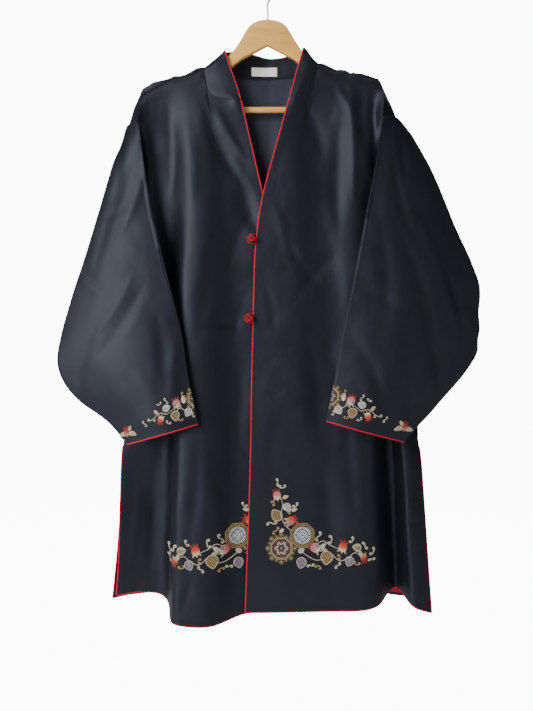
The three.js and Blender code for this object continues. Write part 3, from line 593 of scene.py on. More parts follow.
def creased(grid, facing, creases, towards=None):
    """Soft troughs (plus) and ridges (minus) along bowed lines, then the cloth's own unevenness.

    The two layers of a flat sleeve have no side of their own, so they move together.
    """
    if towards is None:
        out = np.broadcast_to(np.array([0.0, -1.0, 0.0]), grid.shape)
    else:
        out = outward(grid, facing)
    sunk = np.zeros(grid.shape[:2])
    for row in table(CREASE, creases):
        start = np.array([row["x0"], row["z0"]], float)
        run = np.array([row["x1"], row["z1"]], float) - start
        span = np.linalg.norm(run)
        way = run / span
        offset = grid[..., [0, 2]] - start
        t = np.clip(offset @ way / span, 0.0, 1.0)
        sideways = np.array([-way[1], way[0]])
        bowed = offset - t[..., None] * run - (row["bow"] * 4 * t * (1 - t))[..., None] * sideways
        away = np.linalg.norm(bowed, axis=-1) / (row["width"] * (0.55 + 0.45 * np.sin(math.pi * t)))
        sunk += row["depth"] * np.exp(-(away**2)) * np.sin(math.pi * np.clip(t, 0.04, 0.96)) ** 0.7
    if towards is not None:
        sunk *= np.clip(out[..., 1] * towards * 2.5, 0.0, 1.0)
    flat = np.array([1.0, 1.0 if towards else 0.0, 1.0])
    for size, height in ((0.011, 2.2), (0.028, 0.8), (0.075, 0.22)):
        sunk += height * np.array([[noise.noise(Vector(p) * size) for p in line] for line in grid * flat])
    return grid - out * sunk[..., None]


def held_at(before, after, rows, columns, closed=False):
    """The changed grid, but with its seams and the ridge over the hanger left where they were."""
    down = np.arange(after.shape[0])
    across = np.arange(after.shape[1])
    hold = ramp(down, rows[0], rows[1])[:, None] * ramp(after.shape[0] - 1 - down, 0, rows[2])[:, None]
    if not closed:
        hold = hold * ramp(across, 0, columns)[None] * ramp(after.shape[1] - 1 - across, 0, columns)[None]
    return before + (after - before) * hold[..., None]


def seamed(grid, facing, edges, closed=False):
    """Each sewn edge draws the cloth in along a groove a few millimetres wide."""
    out = outward(grid, facing, closed)
    sunk = np.zeros(grid.shape[:2])
    for edge in edges:
        line = {"top": grid[:1], "left": grid[:, :1], "right": grid[:, -1:]}[edge]
        away = np.linalg.norm(grid - line, axis=-1)
        sunk = np.maximum(sunk, np.exp(-((away / 3.2) ** 2)))
    return grid - out * sunk[..., None] * 0.4


CREASES = {
    "front_right": [
        [-112, -236, -48, -372, 13, 4.0, -9], [-48, -372, -12, -470, 16, 4.5, -4],
        [-92, -225, -40, -330, 9, -2.2, -8], [-150, -250, -136, -420, 17, -3.0, 4],
        [-176, -240, -172, -400, 12, 3.0, 3], [-118, -640, -30, -622, 7, 1.7, 7],
        [-112, -652, -52, -637, 6, -1.4, 5], [-60, -655, -33, -560, 10, 1.4, 4],
        [-70, -520, -28, -430, 12, 1.6, 5], [-95, -470, -120, -640, 15, 2.2, 3],
        [-40, -700, -62, -900, 14, 1.8, -4], [-120, -820, -134, -1010, 12, 2.0, 4],
        [-95, -900, -88, -1090, 11, -1.8, 3], [-22, -860, -50, -842, 5, 0.9, 2],
        [-24, -760, -60, -735, 6, 1.0, 3], [-205, -880, -214, -1080, 10, 2.0, 2],
        [-230, -900, -250, -1060, 9, -1.6, 3], [-130, -1060, -152, -1128, 7, 1.4, 2],
    ],
    "front_left": [
        [66, -232, 96, -330, 13, 2.4, 6], [120, -196, 150, -260, 8, -2.6, 4],
        [147, -195, 152, -400, 9, -3.4, 3], [130, -260, 126, -470, 13, 3.0, -4],
        [168, -200, 178, -330, 10, 3.0, -3], [186, -215, 190, -300, 7, 2.2, 2],
        [30, -470, 92, -560, 11, 1.5, -7], [44, -590, 120, -505, 10, 1.6, 6],
        [12, -420, 40, -520, 9, -1.2, 4], [70, -640, 88, -820, 17, 2.2, 4],
        [-6, -560, 14, -640, 8, 1.1, 3], [-12, -700, 20, -690, 5, 0.8, 2],
        [-14, -760, 24, -745, 5, 0.9, 2], [-16, -835, 22, -842, 5, 0.9, -2],
        [96, -880, 108, -1070, 15, 1.9, 4], [140, -760, 152, -960, 13, 2.0, -4],
        [206, -800, 222, -980, 10, 2.6, 3], [240, -905, 266, -890, 5, 1.2, 3],
        [236, -935, 268, -930, 5, 1.1, 2], [244, -985, 274, -972, 6, 1.2, 3],
        [248, -1040, 280, -1020, 6, 1.0, 2], [30, -1090, 66, -1100, 6, 1.0, 2],
    ],
    "back": [
        [-60, -190, -95, -520, 17, 3.2, 8], [50, -195, 88, -560, 18, 3.0, -8],
        [0, -230, -10, -900, 22, 2.4, 10], [-150, -240, -170, -640, 15, 2.8, -6],
        [150, -240, 172, -660, 15, 2.8, 6], [-196, -300, -120, -420, 12, 2.4, 9],
        [200, -290, 130, -400, 12, 2.4, -9], [-120, -640, -150, -1080, 19, 3.0, 6],
        [110, -660, 150, -1080, 19, 3.0, -6], [-40, -760, -30, -1100, 14, 2.0, 4],
        [40, -820, 62, -1110, 13, 2.0, -5], [-225, -560, -180, -690, 10, 1.8, 6],
        [228, -560, 184, -700, 10, 1.8, -6], [-70, -620, 30, -600, 8, 1.3, 6],
        [-20, -400, 70, -420, 9, 1.2, -5], [-235, -900, -205, -1060, 9, 1.6, 3],
    ],
}
panels = {}
grids = {}
for name, side_name, facing in (("front_right", "right", 1), ("front_left", "left", -1)):
    side = SIDES[side_name]
    seam = neck_seam(side["neck"][0], side["neck"][-1])
    plain = sewn(body_panel(front_control(name, side), [-1]), seam, NECK_REACH)
    rough = creased(plain, facing, CREASES[name], towards=-1)
    grid = seamed(held_at(plain, rough, (2, 14, 8), 8), facing, ["top", "right"])
    grids[name] = grid
    panels[name] = cloth(name.replace("front", "panel_front"), grid, facing, SATIN, navy_satin)
    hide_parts(name)

plain = sewn(body_panel(back_control(), [0, -1]), neck_seam(5, 13), NECK_REACH)
rough = creased(plain, 1, CREASES["back"], towards=1)
grids["back"] = seamed(held_at(plain, rough, (2, 14, 8), 8), 1, ["top", "left", "right"])
panels["back"] = cloth("panel_back", grids["back"], 1, SATIN, navy_satin)
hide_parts("back")


# ---- Sleeves -------------------------------------------------------------------------------------
# Each sleeve is one wide piece folded along the top of the arm and sewn under it. It hangs flat from the
# armhole, turned in across the front, with its round lower edge to the outside.
RING = ["foldX", "foldY", "foldZ", "outX", "outY", "outZ", "seamX", "seamY", "seamZ", "front", "rear"]
RINGS = {
    "sleeve_right": table(RING, [
        [-222.8, -33, -304, -277, -7, -337, -264, 15, -500, 5, 10],
        [-211.6, -37, -372, -301, -12, -420, -288, 4, -545, 8, 9],
        [-202.3, -41, -425, -325, -19, -506, -318, -10, -600, 10, 7],
        [-183.9, -48, -500, -348, -26, -583, -346, -20, -650, 13, 5],
        [-172, -52, -545, -364, -32, -647, -364, -26, -690, 15, 4],
        [-158.7, -58, -594, -369, -37, -693, -362, -30, -722, 17, 3],
        [-144.8, -64, -651, -352, -42, -735, -344, -34, -748, 19, 2],
        [-138.3, -68, -692, -327, -46, -761, -322, -37, -768, 20, 2],
        [-132.9, -71, -727, -297, -50, -782, -294, -40, -786, 20, 2],
        [-124.9, -74, -762, -273, -54, -800, -270, -44, -804, 19, 2],
        [-117.6, -76, -797, -241.5, -66, -833, -255, -50, -823, 16, 2],
    ]),
    "sleeve_left": table(RING, [
        [194.8, -33, -304, 262, -7, -292, 270, 15, -500, 5, 10],
        [186.2, -37, -355, 297, -12, -359, 296, 6, -540, 8, 9],
        [175.1, -41, -405, 333, -18, -451, 328, -6, -585, 10, 7],
        [160.3, -48, -479, 363, -24, -521, 354, -16, -628, 12, 5],
        [149.3, -53, -533, 374, -29, -561, 366, -22, -650, 14, 4],
        [138.4, -58, -586, 370, -34, -601, 371, -26, -668, 16, 3],
        [125.8, -64, -646, 370, -39, -640, 366, -31, -684, 18, 2],
        [117.7, -68, -689, 347, -44, -698, 343, -35, -716, 19, 2],
        [111.4, -71, -728, 312, -48, -745, 308, -39, -755, 19, 2],
        [104.4, -74, -762, 279, -52, -783, 276, -43, -790, 18, 2],
        [98.7, -76, -792, 233.6, -66, -829, 246, -50, -818, 15, 2],
    ]),
}
ARMHOLE_REACH = 30.0
ARMHOLE_END_Z = -474.0
SLEEVE_FORWARD = 3.0
SLEEVE_CREASES = {
    "sleeve_right": [
        [-212, -330, -262, -480, 9, -2.2, 7], [-220, -300, -300, -520, 13, 2.4, -8],
        [-216, -560, -290, -680, 11, 2.4, 6], [-232, -540, -300, -650, 8, -1.8, 5],
        [-345, -525, -292, -560, 7, 1.8, 4], [-340, -545, -280, -585, 6, -1.4, 3],
        [-190, -610, -180, -720, 10, 1.9, 4], [-300, -640, -330, -740, 12, 2.0, -5],
        [-160, -640, -166, -780, 9, -1.6, 3], [-245, -420, -300, -440, 8, 1.2, 4],
        [-250, -700, -200, -790, 11, 1.6, 5], [-262, -300, -270, -400, 10, 1.6, 3],
    ],
    "sleeve_left": [
        [222, -340, 250, -470, 10, 3.0, -5], [236, -470, 300, -760, 15, 4.0, 8],
        [262, -440, 330, -660, 13, -2.4, 7], [190, -420, 206, -620, 14, 1.8, 4],
        [160, -560, 250, -610, 9, 1.4, -5], [140, -640, 210, -790, 11, 1.4, 6],
        [372, -570, 330, -600, 7, 1.8, 3], [368, -590, 326, -630, 7, -1.5, 3],
        [300, -520, 340, -640, 10, 1.8, 5], [232, -290, 240, -380, 9, 2.0, 3],
        [180, -700, 190, -800, 8, 1.2, 3], [250, -700, 240, -800, 9, 1.5, -3],
    ],
}


def bulge(start, end, steps, amount):
    points = []
    for n in range(steps):
        point = mix(start, end, n / steps)
        point[1] -= amount * math.sin(math.pi * n / steps)
        points.append(point)
    return points


def sleeve_control(name, side):
    first = armhole_back(side) + armhole_front(side)[::-1][1:-1]
    rings = [first]
    for ring in RINGS[name]:
        fold, out, seam = (
            np.array([ring[key + axis] for axis in "XYZ"], float) for key in ("fold", "out", "seam")
        )
        rings.append(
            bulge(fold, out, FACE_STEPS, ring["front"])
            + bulge(out, seam, UNDER_STEPS, -3)
            + bulge(seam, fold, FACE_STEPS, ring["rear"])
        )
    return np.array(rings, float)


def sleeve_grid(control):
    """Each face is smooth by itself, so the pressed folds between them stay crisp."""
    rows = int(length(control[:, FACE_STEPS // 2]) / PANEL_SPACING)
    around = spline(control, rows)
    around = np.concatenate([around, around[:, :1]], axis=1)
    corners = [0, FACE_STEPS, FACE_STEPS + UNDER_STEPS, 2 * FACE_STEPS + UNDER_STEPS]
    faces = []
    for start, end in zip(corners, corners[1:]):
        face = around[:, start : end + 1].swapaxes(0, 1)
        count = max(int(length(face[:, rows // 2]) / PANEL_SPACING), 4)
        faces.append(spline(face, count)[:-1])
    grid = np.concatenate(faces).swapaxes(0, 1)
    # A folded edge still has a small round.
    return (np.roll(grid, 1, axis=1) + 4 * grid + np.roll(grid, -1, axis=1)) / 6


for name, side_name, facing in (("sleeve_right", "right", 1), ("sleeve_left", "left", -1)):
    front_edge = grids["front_" + side_name][:, -1]
    back_edge = grids["back"][:, 0 if side_name == "right" else -1]
    hole = [edge[(edge[:, 2] < SIDES[side_name]["drop"][-1]["z"] + 2) & (edge[:, 2] > ARMHOLE_END_Z)]
            for edge in (front_edge, back_edge)]
    hole = np.concatenate([hole[0][::-1], hole[1]])
    plain = sewn(sleeve_grid(sleeve_control(name, SIDES[side_name])), hole, ARMHOLE_REACH)
    rough = creased(plain, facing, SLEEVE_CREASES[name])
    # The sleeve rests a few millimetres in front of the body.
    rough[..., 1] -= SLEEVE_FORWARD
    grid = seamed(held_at(plain, rough, (0, 9, 7), 0, closed=True), facing, ["top"], closed=True)
    grids[name] = grid
    piece_name = name.replace("sleeve", "hanging_sleeve")
    panels[name] = cloth(piece_name, grid, facing, SATIN, navy_satin, closed=True)
    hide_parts(name)


# ---- Back lining, hem facing and label -----------------------------------------------------------
# A thin navy lining with a seam down its centre shows inside the neck. A strip of red satin faces the back
# hem, and a blank woven label is sewn inside the collar.
LINING = 1.0
LINING_GAP = 0.5


def plain_weave(name, dark, light, threads):
    weave = Finish(name)
    cut = weave.uv()
    warp = weave.wave(cut, threads, "X", 0.6)
    weft = weave.wave(cut, threads, "Y", 0.6)
    cloud = weave.cloud(cut, 40.0)
    return weave.surface(
        Base_Color=weave.ramp(warp * 0.3 + weft * 0.3 + cloud * 0.4, [(0.25, dark), (0.8, light)]),
        Roughness=0.5 + cloud * 0.15,
        Sheen_Weight=0.08,
        Normal=weave.bump(warp * weft + cloud * 0.5, 0.25, 0.0002),
    )


navy_lining = plain_weave("navy_lining", (0.0062, 0.0085, 0.024), (0.011, 0.0155, 0.042), 420.0)
label_weave = plain_weave("label_weave", (0.72, 0.70, 0.66), (0.92, 0.91, 0.88), 700.0)


def inward(grid, facing, depth):
    return grid - outward(grid, facing) * depth


back_rows, back_columns = grids["back"].shape[:2]
lining_grid = inward(grids["back"], 1, SATIN + LINING_GAP)
# The lining hangs a little loose: shallow tucks beside the centre seam, and the seam itself draws in.
from_seam = lining_grid[..., 0] - 2.0
fall = ramp(-lining_grid[..., 2], 180, 330)
tucks = np.exp(-((from_seam / 2.6) ** 2)) * 1.1
tucks -= 0.9 * np.exp(-(((np.abs(from_seam) - 19) / 8) ** 2)) * fall
tucks -= 0.5 * np.exp(-(((np.abs(from_seam) - 34) / 5) ** 2)) * fall
lining_grid[..., 1] += tucks
facing_row = int(back_rows * 0.935)
centre = back_columns // 2
inset = int(back_columns * 0.13)
spans = {"right": (inset, centre + 1), "left": (centre, back_columns - inset)}
for side_name, (first, last) in spans.items():
    lining = cloth("lining_" + side_name, lining_grid[1:facing_row, first:last], 1, LINING, navy_lining)
    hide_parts("lining_back_" + side_name)


# ---- Red satin: hem facing and piping ------------------------------------------------------------
# Piping is a cord about 2.6 mm thick in a bias strip of red satin, sewn into every edge: the collar and
# fronts, the hem, the side vents and the cuffs.
PIPING = 1.3
PIPING_REACH = 0.9


def red_satin(name, dark, light):
    silk = Finish(name)
    cut = silk.uv()
    strands = silk.wave(silk.scaled(cut, (1.0, 1.0, 1.0), 0.8), 420.0)
    cloud = silk.cloud(cut, 120.0)
    return silk.surface(
        Base_Color=silk.ramp(strands * 0.45 + cloud * 0.55, [(0.2, dark), (0.75, light)]),
        Roughness=0.45 + cloud * 0.15,
        Specular_IOR_Level=0.28,
        Normal=silk.bump(strands * 0.7 + cloud * 0.5, 0.3, 0.0003),
    )


red = red_satin("red_piping_satin", (0.42, 0.0008, 0.016), (0.70, 0.0016, 0.033))

facing_grid = lining_grid[facing_row - 2 : -1, inset // 3 : back_columns - inset // 3]
facing_strip = cloth("hem_facing", facing_grid, 1, LINING, red)
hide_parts("back_hem_facing")


def frames(path):
    """A normal and a binormal at each place of a path, turned as little as possible along it."""
    tangents = np.gradient(path, axis=0)
    tangents /= np.maximum(np.linalg.norm(tangents, axis=1, keepdims=True), 1e-9)
    normal = np.cross(tangents[0], [0.31, 0.87, 0.39])
    normals = []
    for tangent in tangents:
        normal = normal - tangent * (normal @ tangent)
        normal /= np.linalg.norm(normal)
        normals.append(normal)
    return np.array(normals), np.cross(tangents, normals)


def cord(name, path, radius, finish, sides=10, closed=False):
    """A round cord along a path, with its length and girth as its UV map and rounded ends."""
    path = np.array(path, float)
    radii = np.full(len(path), float(radius))
    if not closed:
        radii[0] = radii[-1] = radius * 0.5
    first, second = frames(path)
    turn = np.linspace(0, 2 * math.pi, sides, endpoint=False)
    rings = (
        path[:, None]
        + first[:, None] * (np.cos(turn)[None, :, None] * radii[:, None, None])
        + second[:, None] * (np.sin(turn)[None, :, None] * radii[:, None, None])
    )
    count = len(path)
    along = np.concatenate([[0.0], np.cumsum(np.linalg.norm(np.diff(path, axis=0), axis=1)), [0.0]])
    along[-1] = along[-2] + np.linalg.norm(path[0] - path[-1])
    faces = []
    marks = []
    girth = 2 * math.pi * radius / sides
    for i in range(count if closed else count - 1):
        k = (i + 1) % count
        for j in range(sides):
            m = (j + 1) % sides
            faces.append([i * sides + j, i * sides + m, k * sides + m, k * sides + j])
            for row, column in ((i, j), (i, j + 1), (i + 1, j + 1), (i + 1, j)):
                marks.append((along[row] * MM, column * girth * MM))
    if not closed:
        for ring, order in ((0, range(sides - 1, -1, -1)), (count - 1, range(sides))):
            faces.append([ring * sides + j for j in order])
            marks.extend((along[ring] * MM, j * girth * MM) for j in order)
    piece = new_piece(name, (rings.reshape(-1, 3) * MM).tolist(), faces, finish, marks)
    piece.data.shade_smooth()
    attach(piece, "root")
    return piece


def beside(edge, inner, out, wall):
    """The path of the piping just outside an edge, at the middle of the cloth's wall."""
    middle = edge - out * wall / 2
    along = np.gradient(edge, axis=0)
    along /= np.maximum(np.linalg.norm(along, axis=1, keepdims=True), 1e-9)
    away = edge - inner
    away -= along * (away * along).sum(axis=1, keepdims=True)
    away /= np.maximum(np.linalg.norm(away, axis=1, keepdims=True), 1e-9)
    return middle + away * PIPING_REACH


def panel_edges(grid, facing, vent_z):
    """Down the front edge, along the hem and up the vent, as one path."""
    out = outward(grid, facing)
    front = beside(grid[:, 0], grid[:, 2], out[:, 0], SATIN)
    hem = beside(grid[-1], grid[-3], out[-1], SATIN)
    vent = beside(grid[:, -1], grid[:, -3], out[:, -1], SATIN)[::-1]
    return front, hem, vent[vent[:, 2] < vent_z]


VENT_Z = -840.0


def piping(node, path, closed=False):
    piece = cord(node + "_edge", path, PIPING, red, closed=closed)
    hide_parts(node)


for name, facing in (("front_right", 1), ("front_left", -1)):
    piping("piping_" + name, np.concatenate(panel_edges(grids[name], facing, VENT_Z)))
left_side, hem, right_side = panel_edges(grids["back"], 1, VENT_Z)
left_side = left_side[left_side[:, 2] < VENT_Z]
piping("piping_back", np.concatenate([left_side, hem, right_side]))
piping("piping_collar", beside(collar_grid[0], collar_grid[2], outward(collar_grid, -1)[0], COLLAR_WALL))
for name, facing in (("sleeve_right", 1), ("sleeve_left", -1)):
    grid = grids[name]
    out = outward(grid, facing, closed=True)
    path = beside(grid[-1], grid[-3], out[-1], SATIN)
    piping(name.replace("sleeve", "piping_cuff"), path, closed=True)


# The label is a woven strip with its ends folded under. Nothing is woven into it.
LABEL_X = (-29.5, 17.0)
LABEL_Z = (-171.0, -154.5)
LABEL_WALL = 0.5
label_rows = []
collar_tree = BVHTree.FromObject(collar, bpy.context.evaluated_depsgraph_get())
for z in np.linspace(LABEL_Z[1], LABEL_Z[0], 12):
    line = []
    for x in np.linspace(LABEL_X[0], LABEL_X[1], 32):
        hit = collar_tree.ray_cast(Vector((x * MM, 0.006, z * MM)), Vector((0, 1, 0)))[0]
        y = hit.y / MM if hit else 24.0
        line.append([x, y - 0.75, z])
    label_rows.append(line)
label = cloth("blank_label", np.array(label_rows), 1, LABEL_WALL, label_weave)
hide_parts("label")


# ---- Knot buttons --------------------------------------------------------------------------------
# Each button is one round silk cord worked into a tight ball knot and sewn to the right front by its shank.
# A loop of the same cord, sewn into the left front's edge, goes round the shank.
BUTTONS = table(["name", "x", "z"], [["upper", -27.5, -476], ["lower", -31.5, -616]])
KNOT = 7.2
KNOT_CORD = 2.05
SHANK_LENGTH = 7.0
CORD = 1.4
LOOP = 8.4


def silk_cord(name, dark, light):
    silk = Finish(name)
    cut = silk.uv()
    twist = silk.wave(silk.scaled(cut, (1.0, 1.0, 1.0), 0.7), 300.0)
    cloud = silk.cloud(cut, 300.0)
    return silk.surface(
        Base_Color=silk.ramp(twist * 0.6 + cloud * 0.4, [(0.15, dark), (0.8, light)]),
        Roughness=0.45 + cloud * 0.2,
        Normal=silk.bump(twist, 0.8, 0.0006),
    )


knot_silk = silk_cord("red_knot_cord", (0.16, 0.0006, 0.006), (0.48, 0.0015, 0.016))


def knot_path(x, y, z):
    """Three leads and four bights, laid over and under each other round a ball."""
    points = []
    for t in np.linspace(0, 2 * math.pi, 220, endpoint=False):
        around = 3 * t
        height = math.radians(58) * math.sin(4 * t)
        radius = KNOT - KNOT_CORD + 0.75 * math.sin(8 * t)
        points.append([
            x + radius * math.cos(height) * math.cos(around),
            y + radius * math.sin(height),
            z + radius * math.cos(height) * math.sin(around),
        ])
    return points


for row in BUTTONS:
    x, z = row["x"], row["z"]
    seat_y = front_depth("front_right", SIDES["right"], x, z)
    ball_y = seat_y - KNOT - SHANK_LENGTH
    knot = cord("knot_" + row["name"], knot_path(x, ball_y, z), KNOT_CORD, knot_silk, closed=True)
    turns = [
        [x + 3.4 * math.cos(a), ball_y + 1.5 * math.sin(2 * a), z + 3.4 * math.sin(a)]
        for a in np.linspace(0, 2 * math.pi, 24, endpoint=False)
    ]
    heart = cord("knot_heart_" + row["name"], turns, 3.3, knot_silk, closed=True)
    shank_path = [[x, y, z] for y in np.linspace(ball_y + KNOT - 2.5, seat_y - 0.3, 6)]
    shank = cord("knot_shank_" + row["name"], shank_path, 2.0, knot_silk)
    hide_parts("button_" + row["name"])
    edge_x = lookup(SIDES["left"]["edge"], z)
    loop_y = front_depth("front_left", SIDES["left"], edge_x, z) + SATIN / 2
    end_x = edge_x - 2.2
    arc = [
        [x + LOOP * math.cos(a), loop_y - 1.2 * math.sin(a - math.pi / 2), z + LOOP * math.sin(a)]
        for a in np.linspace(math.pi / 2, 3 * math.pi / 2, 26)
    ]
    upper_end = [[s, loop_y, z + LOOP] for s in np.linspace(end_x, x, 6)][:-1]
    lower_end = [[s, loop_y, z - LOOP] for s in np.linspace(x, end_x, 6)][1:]
    loop = cord("cord_loop_" + row["name"], upper_end + arc + lower_end, CORD, knot_silk)
    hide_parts("loop_" + row["name"])


# ---- Embroidery ----------------------------------------------------------------------------------
# Silk threads in raised satin stitch, with gold cords couched round the shapes. A spray runs from each
# front edge along the hem, with a star rosette, a wheel roundel, fruits, buds, leaves and scrolls. A smaller
# spray runs from the pressed fold of each cuff.
CREAM = (0.86, 0.74, 0.50)
GOLD = (0.56, 0.37, 0.12)
BRONZE = (0.055, 0.026, 0.010)
OLIVE = (0.17, 0.15, 0.055)
WHITE = (0.88, 0.88, 0.86)
ICE = (0.36, 0.46, 0.60)
LAVENDER = (0.42, 0.34, 0.50)
DUSK = (0.06, 0.045, 0.085)
PINK = (0.72, 0.20, 0.19)
ORANGE = (0.66, 0.075, 0.02)
SCARLET = (0.46, 0.014, 0.014)
CRIMSON = (0.20, 0.003, 0.012)
INK = (0.008, 0.009, 0.014)
STITCH = 1.1


def embroidery_silk(name):
    silk = Finish(name)
    cut = silk.uv()
    tone = silk.node("ShaderNodeVertexColor", {"layer_name": "thread"})["Color"]
    strand = silk.wave(cut, 520.0, "X", 0.8)
    cloud = silk.cloud(cut, 500.0, 2.0)
    shade = silk.ramp(strand * 0.6 + cloud * 0.4, [(0.15, (0.62, 0.62, 0.62)), (0.75, (1.0, 1.0, 1.0))])
    inputs = {0: tone, 1: shade}
    colour = silk.node("ShaderNodeVectorMath", {"operation": "MULTIPLY"}, inputs)["Vector"]
    return silk.surface(
        Base_Color=colour,
        Roughness=0.42 + cloud * 0.16,
        Sheen_Weight=0.06,
        Normal=silk.bump(strand, 0.7, 0.0004),
    )


silk_thread = embroidery_silk("embroidery_silk")


class Stitching:
    """Raised patches of thread laid on the front of one panel and gathered in one mesh."""

    def __init__(self, panel, layout):
        self.tree = BVHTree.FromObject(panel, bpy.context.evaluated_depsgraph_get())
        self.layout = layout
        self.verts, self.faces, self.marks, self.tones = [], [], [], []

    def patch(self, points, heights, tones, marks):
        rows, columns = points.shape[:2]
        first = len(self.verts)
        missed = set()
        ahead = Vector((0.0, 1.0, 0.0))
        for n, (x, z) in enumerate(points.reshape(-1, 2)):
            x, z = self.layout(x, z)
            hit, normal, _, _ = self.tree.ray_cast(Vector((x * MM, -0.3, z * MM)), ahead)
            if hit is None:
                missed.add(first + n)
                hit, normal = Vector((x * MM, 0.0, z * MM)), -ahead
            self.verts.append(hit + normal * float(heights.flat[n]) * MM)
        self.tones.extend(tones.reshape(-1, 3))
        for i in range(rows - 1):
            for j in range(columns - 1):
                corners = [(i, j), (i, j + 1), (i + 1, j + 1), (i + 1, j)]
                face = [first + row * columns + column for row, column in corners]
                if not missed.isdisjoint(face):
                    continue
                a, b, c, d = (self.verts[k] for k in face)
                if (c - a).cross(d - b).y > 0:
                    face.reverse()
                    corners.reverse()
                self.faces.append(face)
                self.marks.extend(tuple(marks[row, column] * MM) for row, column in corners)

    def finish(self, name):
        used = sorted({k for face in self.faces for k in face})
        index = {k: n for n, k in enumerate(used)}
        verts = [self.verts[k] for k in used]
        faces = [[index[k] for k in face] for face in self.faces]
        piece = new_piece(name, verts, faces, silk_thread, self.marks)
        tones = piece.data.color_attributes.new(name="thread", type="FLOAT_COLOR", domain="POINT")
        tones.data.foreach_set("color", np.array([[*self.tones[k], 1.0] for k in used], float).ravel())
        piece.data.shade_smooth()
        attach(piece, "root")


def turned(x, z, angle, u, v):
    cos, sin = math.cos(math.radians(angle)), math.sin(math.radians(angle))
    return np.stack([x + u * cos - v * sin, z + u * sin + v * cos], axis=-1)


def polar(x, z, reach, degrees):
    """The place this far from a centre, at this angle."""
    turn = math.radians(degrees)
    return x + reach * math.cos(turn), z + reach * math.sin(turn)


def shade(first, second, t):
    """Two colours mixed by an array."""
    return mix(np.array(first), np.array(second), np.clip(t, 0.0, 1.0)[..., None])


def ribbon(work, points, width, tone, height=0.8, taper=0.0):
    """A couched cord or a band of satin stitch along a path."""
    points = np.array(points, float)
    points = spline(points, max(int(length(points) / STITCH), 4))
    run = np.gradient(points, axis=0)
    run /= np.maximum(np.linalg.norm(run, axis=1, keepdims=True), 1e-9)
    side = np.stack([-run[:, 1], run[:, 0]], axis=1)
    t = np.linspace(0, 1, len(points))
    half = width / 2 * (1 - taper * (1 - np.sin(math.pi * t)))
    s = np.array([-1.0, -0.6, 0.0, 0.6, 1.0])
    grid = points[:, None] + side[:, None] * (s[None, :, None] * half[:, None, None])
    heights = np.array([-0.1, 0.75, 1.0, 0.75, -0.1])[None] * height + 0 * t[:, None]
    # Painted shade: each band's thread colour is made up to 25 % darker towards its two edges, where its
    # raised surface turns away.
    tones = np.array(tone)[None, None] * (1 - 0.25 * np.abs(s))[None, :, None] + 0 * t[:, None, None]
    along = t[:, None] * length(points) + s[None] * half[:, None]
    marks = np.stack([along, s[None] * half[:, None]], axis=-1)
    work.patch(grid, heights, tones, marks)


def scroll(work, x, z, size, angle, curl=5.2, tone=CREAM, twist=1, width=2.0):
    """A double scroll: an S where twist is 1, a C where it is 0; its ends roll up tightly."""
    s = np.linspace(-1, 1, 60)
    bend = curl * np.abs(s) ** 2.4
    heading = bend if twist else bend * np.sign(s)
    path = np.cumsum(np.stack([np.cos(heading), np.sin(heading)], axis=1), axis=0)
    path -= (path.max(axis=0) + path.min(axis=0)) / 2
    path *= size / np.linalg.norm(path.max(axis=0) - path.min(axis=0))
    points = turned(x, z, angle, path[:, 0], path[:, 1])
    ribbon(work, points, width, tone, taper=0.45)
    for end in (points[0], points[-1]):
        disc(work, end[0], end[1], width * 0.75, tone, tone, 0.9)


def disc(work, x, z, radius, middle, rim, height, lobes=0, depth=0.0, squash=1.0, angle=0.0, inner=0.0):
    """A round patch or ring; its rim may be scalloped."""
    rings = max(int((radius - inner) / STITCH), 3)
    count = max(int(2 * math.pi * radius / (STITCH * 1.2)), 10)
    rho = np.linspace(inner / radius, 1, rings + 1)[:, None]
    theta = np.linspace(0, 2 * math.pi, count + 1)[None]
    reach = radius * (1 - depth * np.abs(np.sin(lobes * theta / 2)) if lobes else 1 + 0 * theta)
    u = rho * reach * np.cos(theta)
    v = rho * reach * np.sin(theta) * squash
    within = (rho - inner / radius) / (1 - inner / radius) + 0 * theta
    if inner:
        heights = height * np.sin(math.pi * within) ** 0.6 - 0.05
    else:
        heights = height * np.sqrt(np.clip(1 - within**2 * 1.02, 0, 1)) + 0.1
    marks = np.stack([theta * radius * 0.5 + 0 * rho, rho * radius + 0 * theta], axis=-1)
    work.patch(turned(x, z, angle, u, v), heights, shade(middle, rim, within), marks)


def leaf(work, x, z, size, angle, inner, outer, edge=CREAM, width=0.66, lattice=None):
    """A pointed leaf with a vein. It may be filled with a lattice of crossing threads instead."""
    fine = 0.5 if lattice else 1.0
    t = np.linspace(0, 1, max(int(size / STITCH / fine), 7))[:, None]
    s = np.linspace(-1, 1, int(9 / fine))[None]
    half = width * size / 2 * np.sin(math.pi * t**0.78) ** 0.8
    u = (t - 0.5) * size + 0 * s
    v = s * half
    heights = 0.15 + 0.6 * np.sqrt(1 - 0.96 * s**2) * np.sin(math.pi * t) ** 0.3
    if lattice:
        crossed = np.maximum(np.cos(1.3 * (u + v)), np.cos(1.3 * (u - v)))
        tones = shade(inner, lattice, ramp(crossed, 0.5, 0.85))
        heights = heights + 0.15 * crossed
    else:
        heights = heights - 0.3 * np.exp(-((s / 0.2) ** 2))
        tones = shade(inner, outer, np.abs(s) ** 1.3 * 0.7 + t * 0.3) * (1 - 0.18 * (s > 0))[..., None]
    marks = np.stack([u * 0.7 + np.abs(v), v], axis=-1)
    work.patch(turned(x, z, angle, u, v), heights, tones, marks)
    if edge:
        rim = np.concatenate([np.stack([u[:, 0], v[:, 0]], 1), np.stack([u[:, -1], v[:, -1]], 1)[::-1]])
        ribbon(work, turned(x, z, angle, rim[:, 0], rim[:, 1]), 1.4, edge, 0.9)


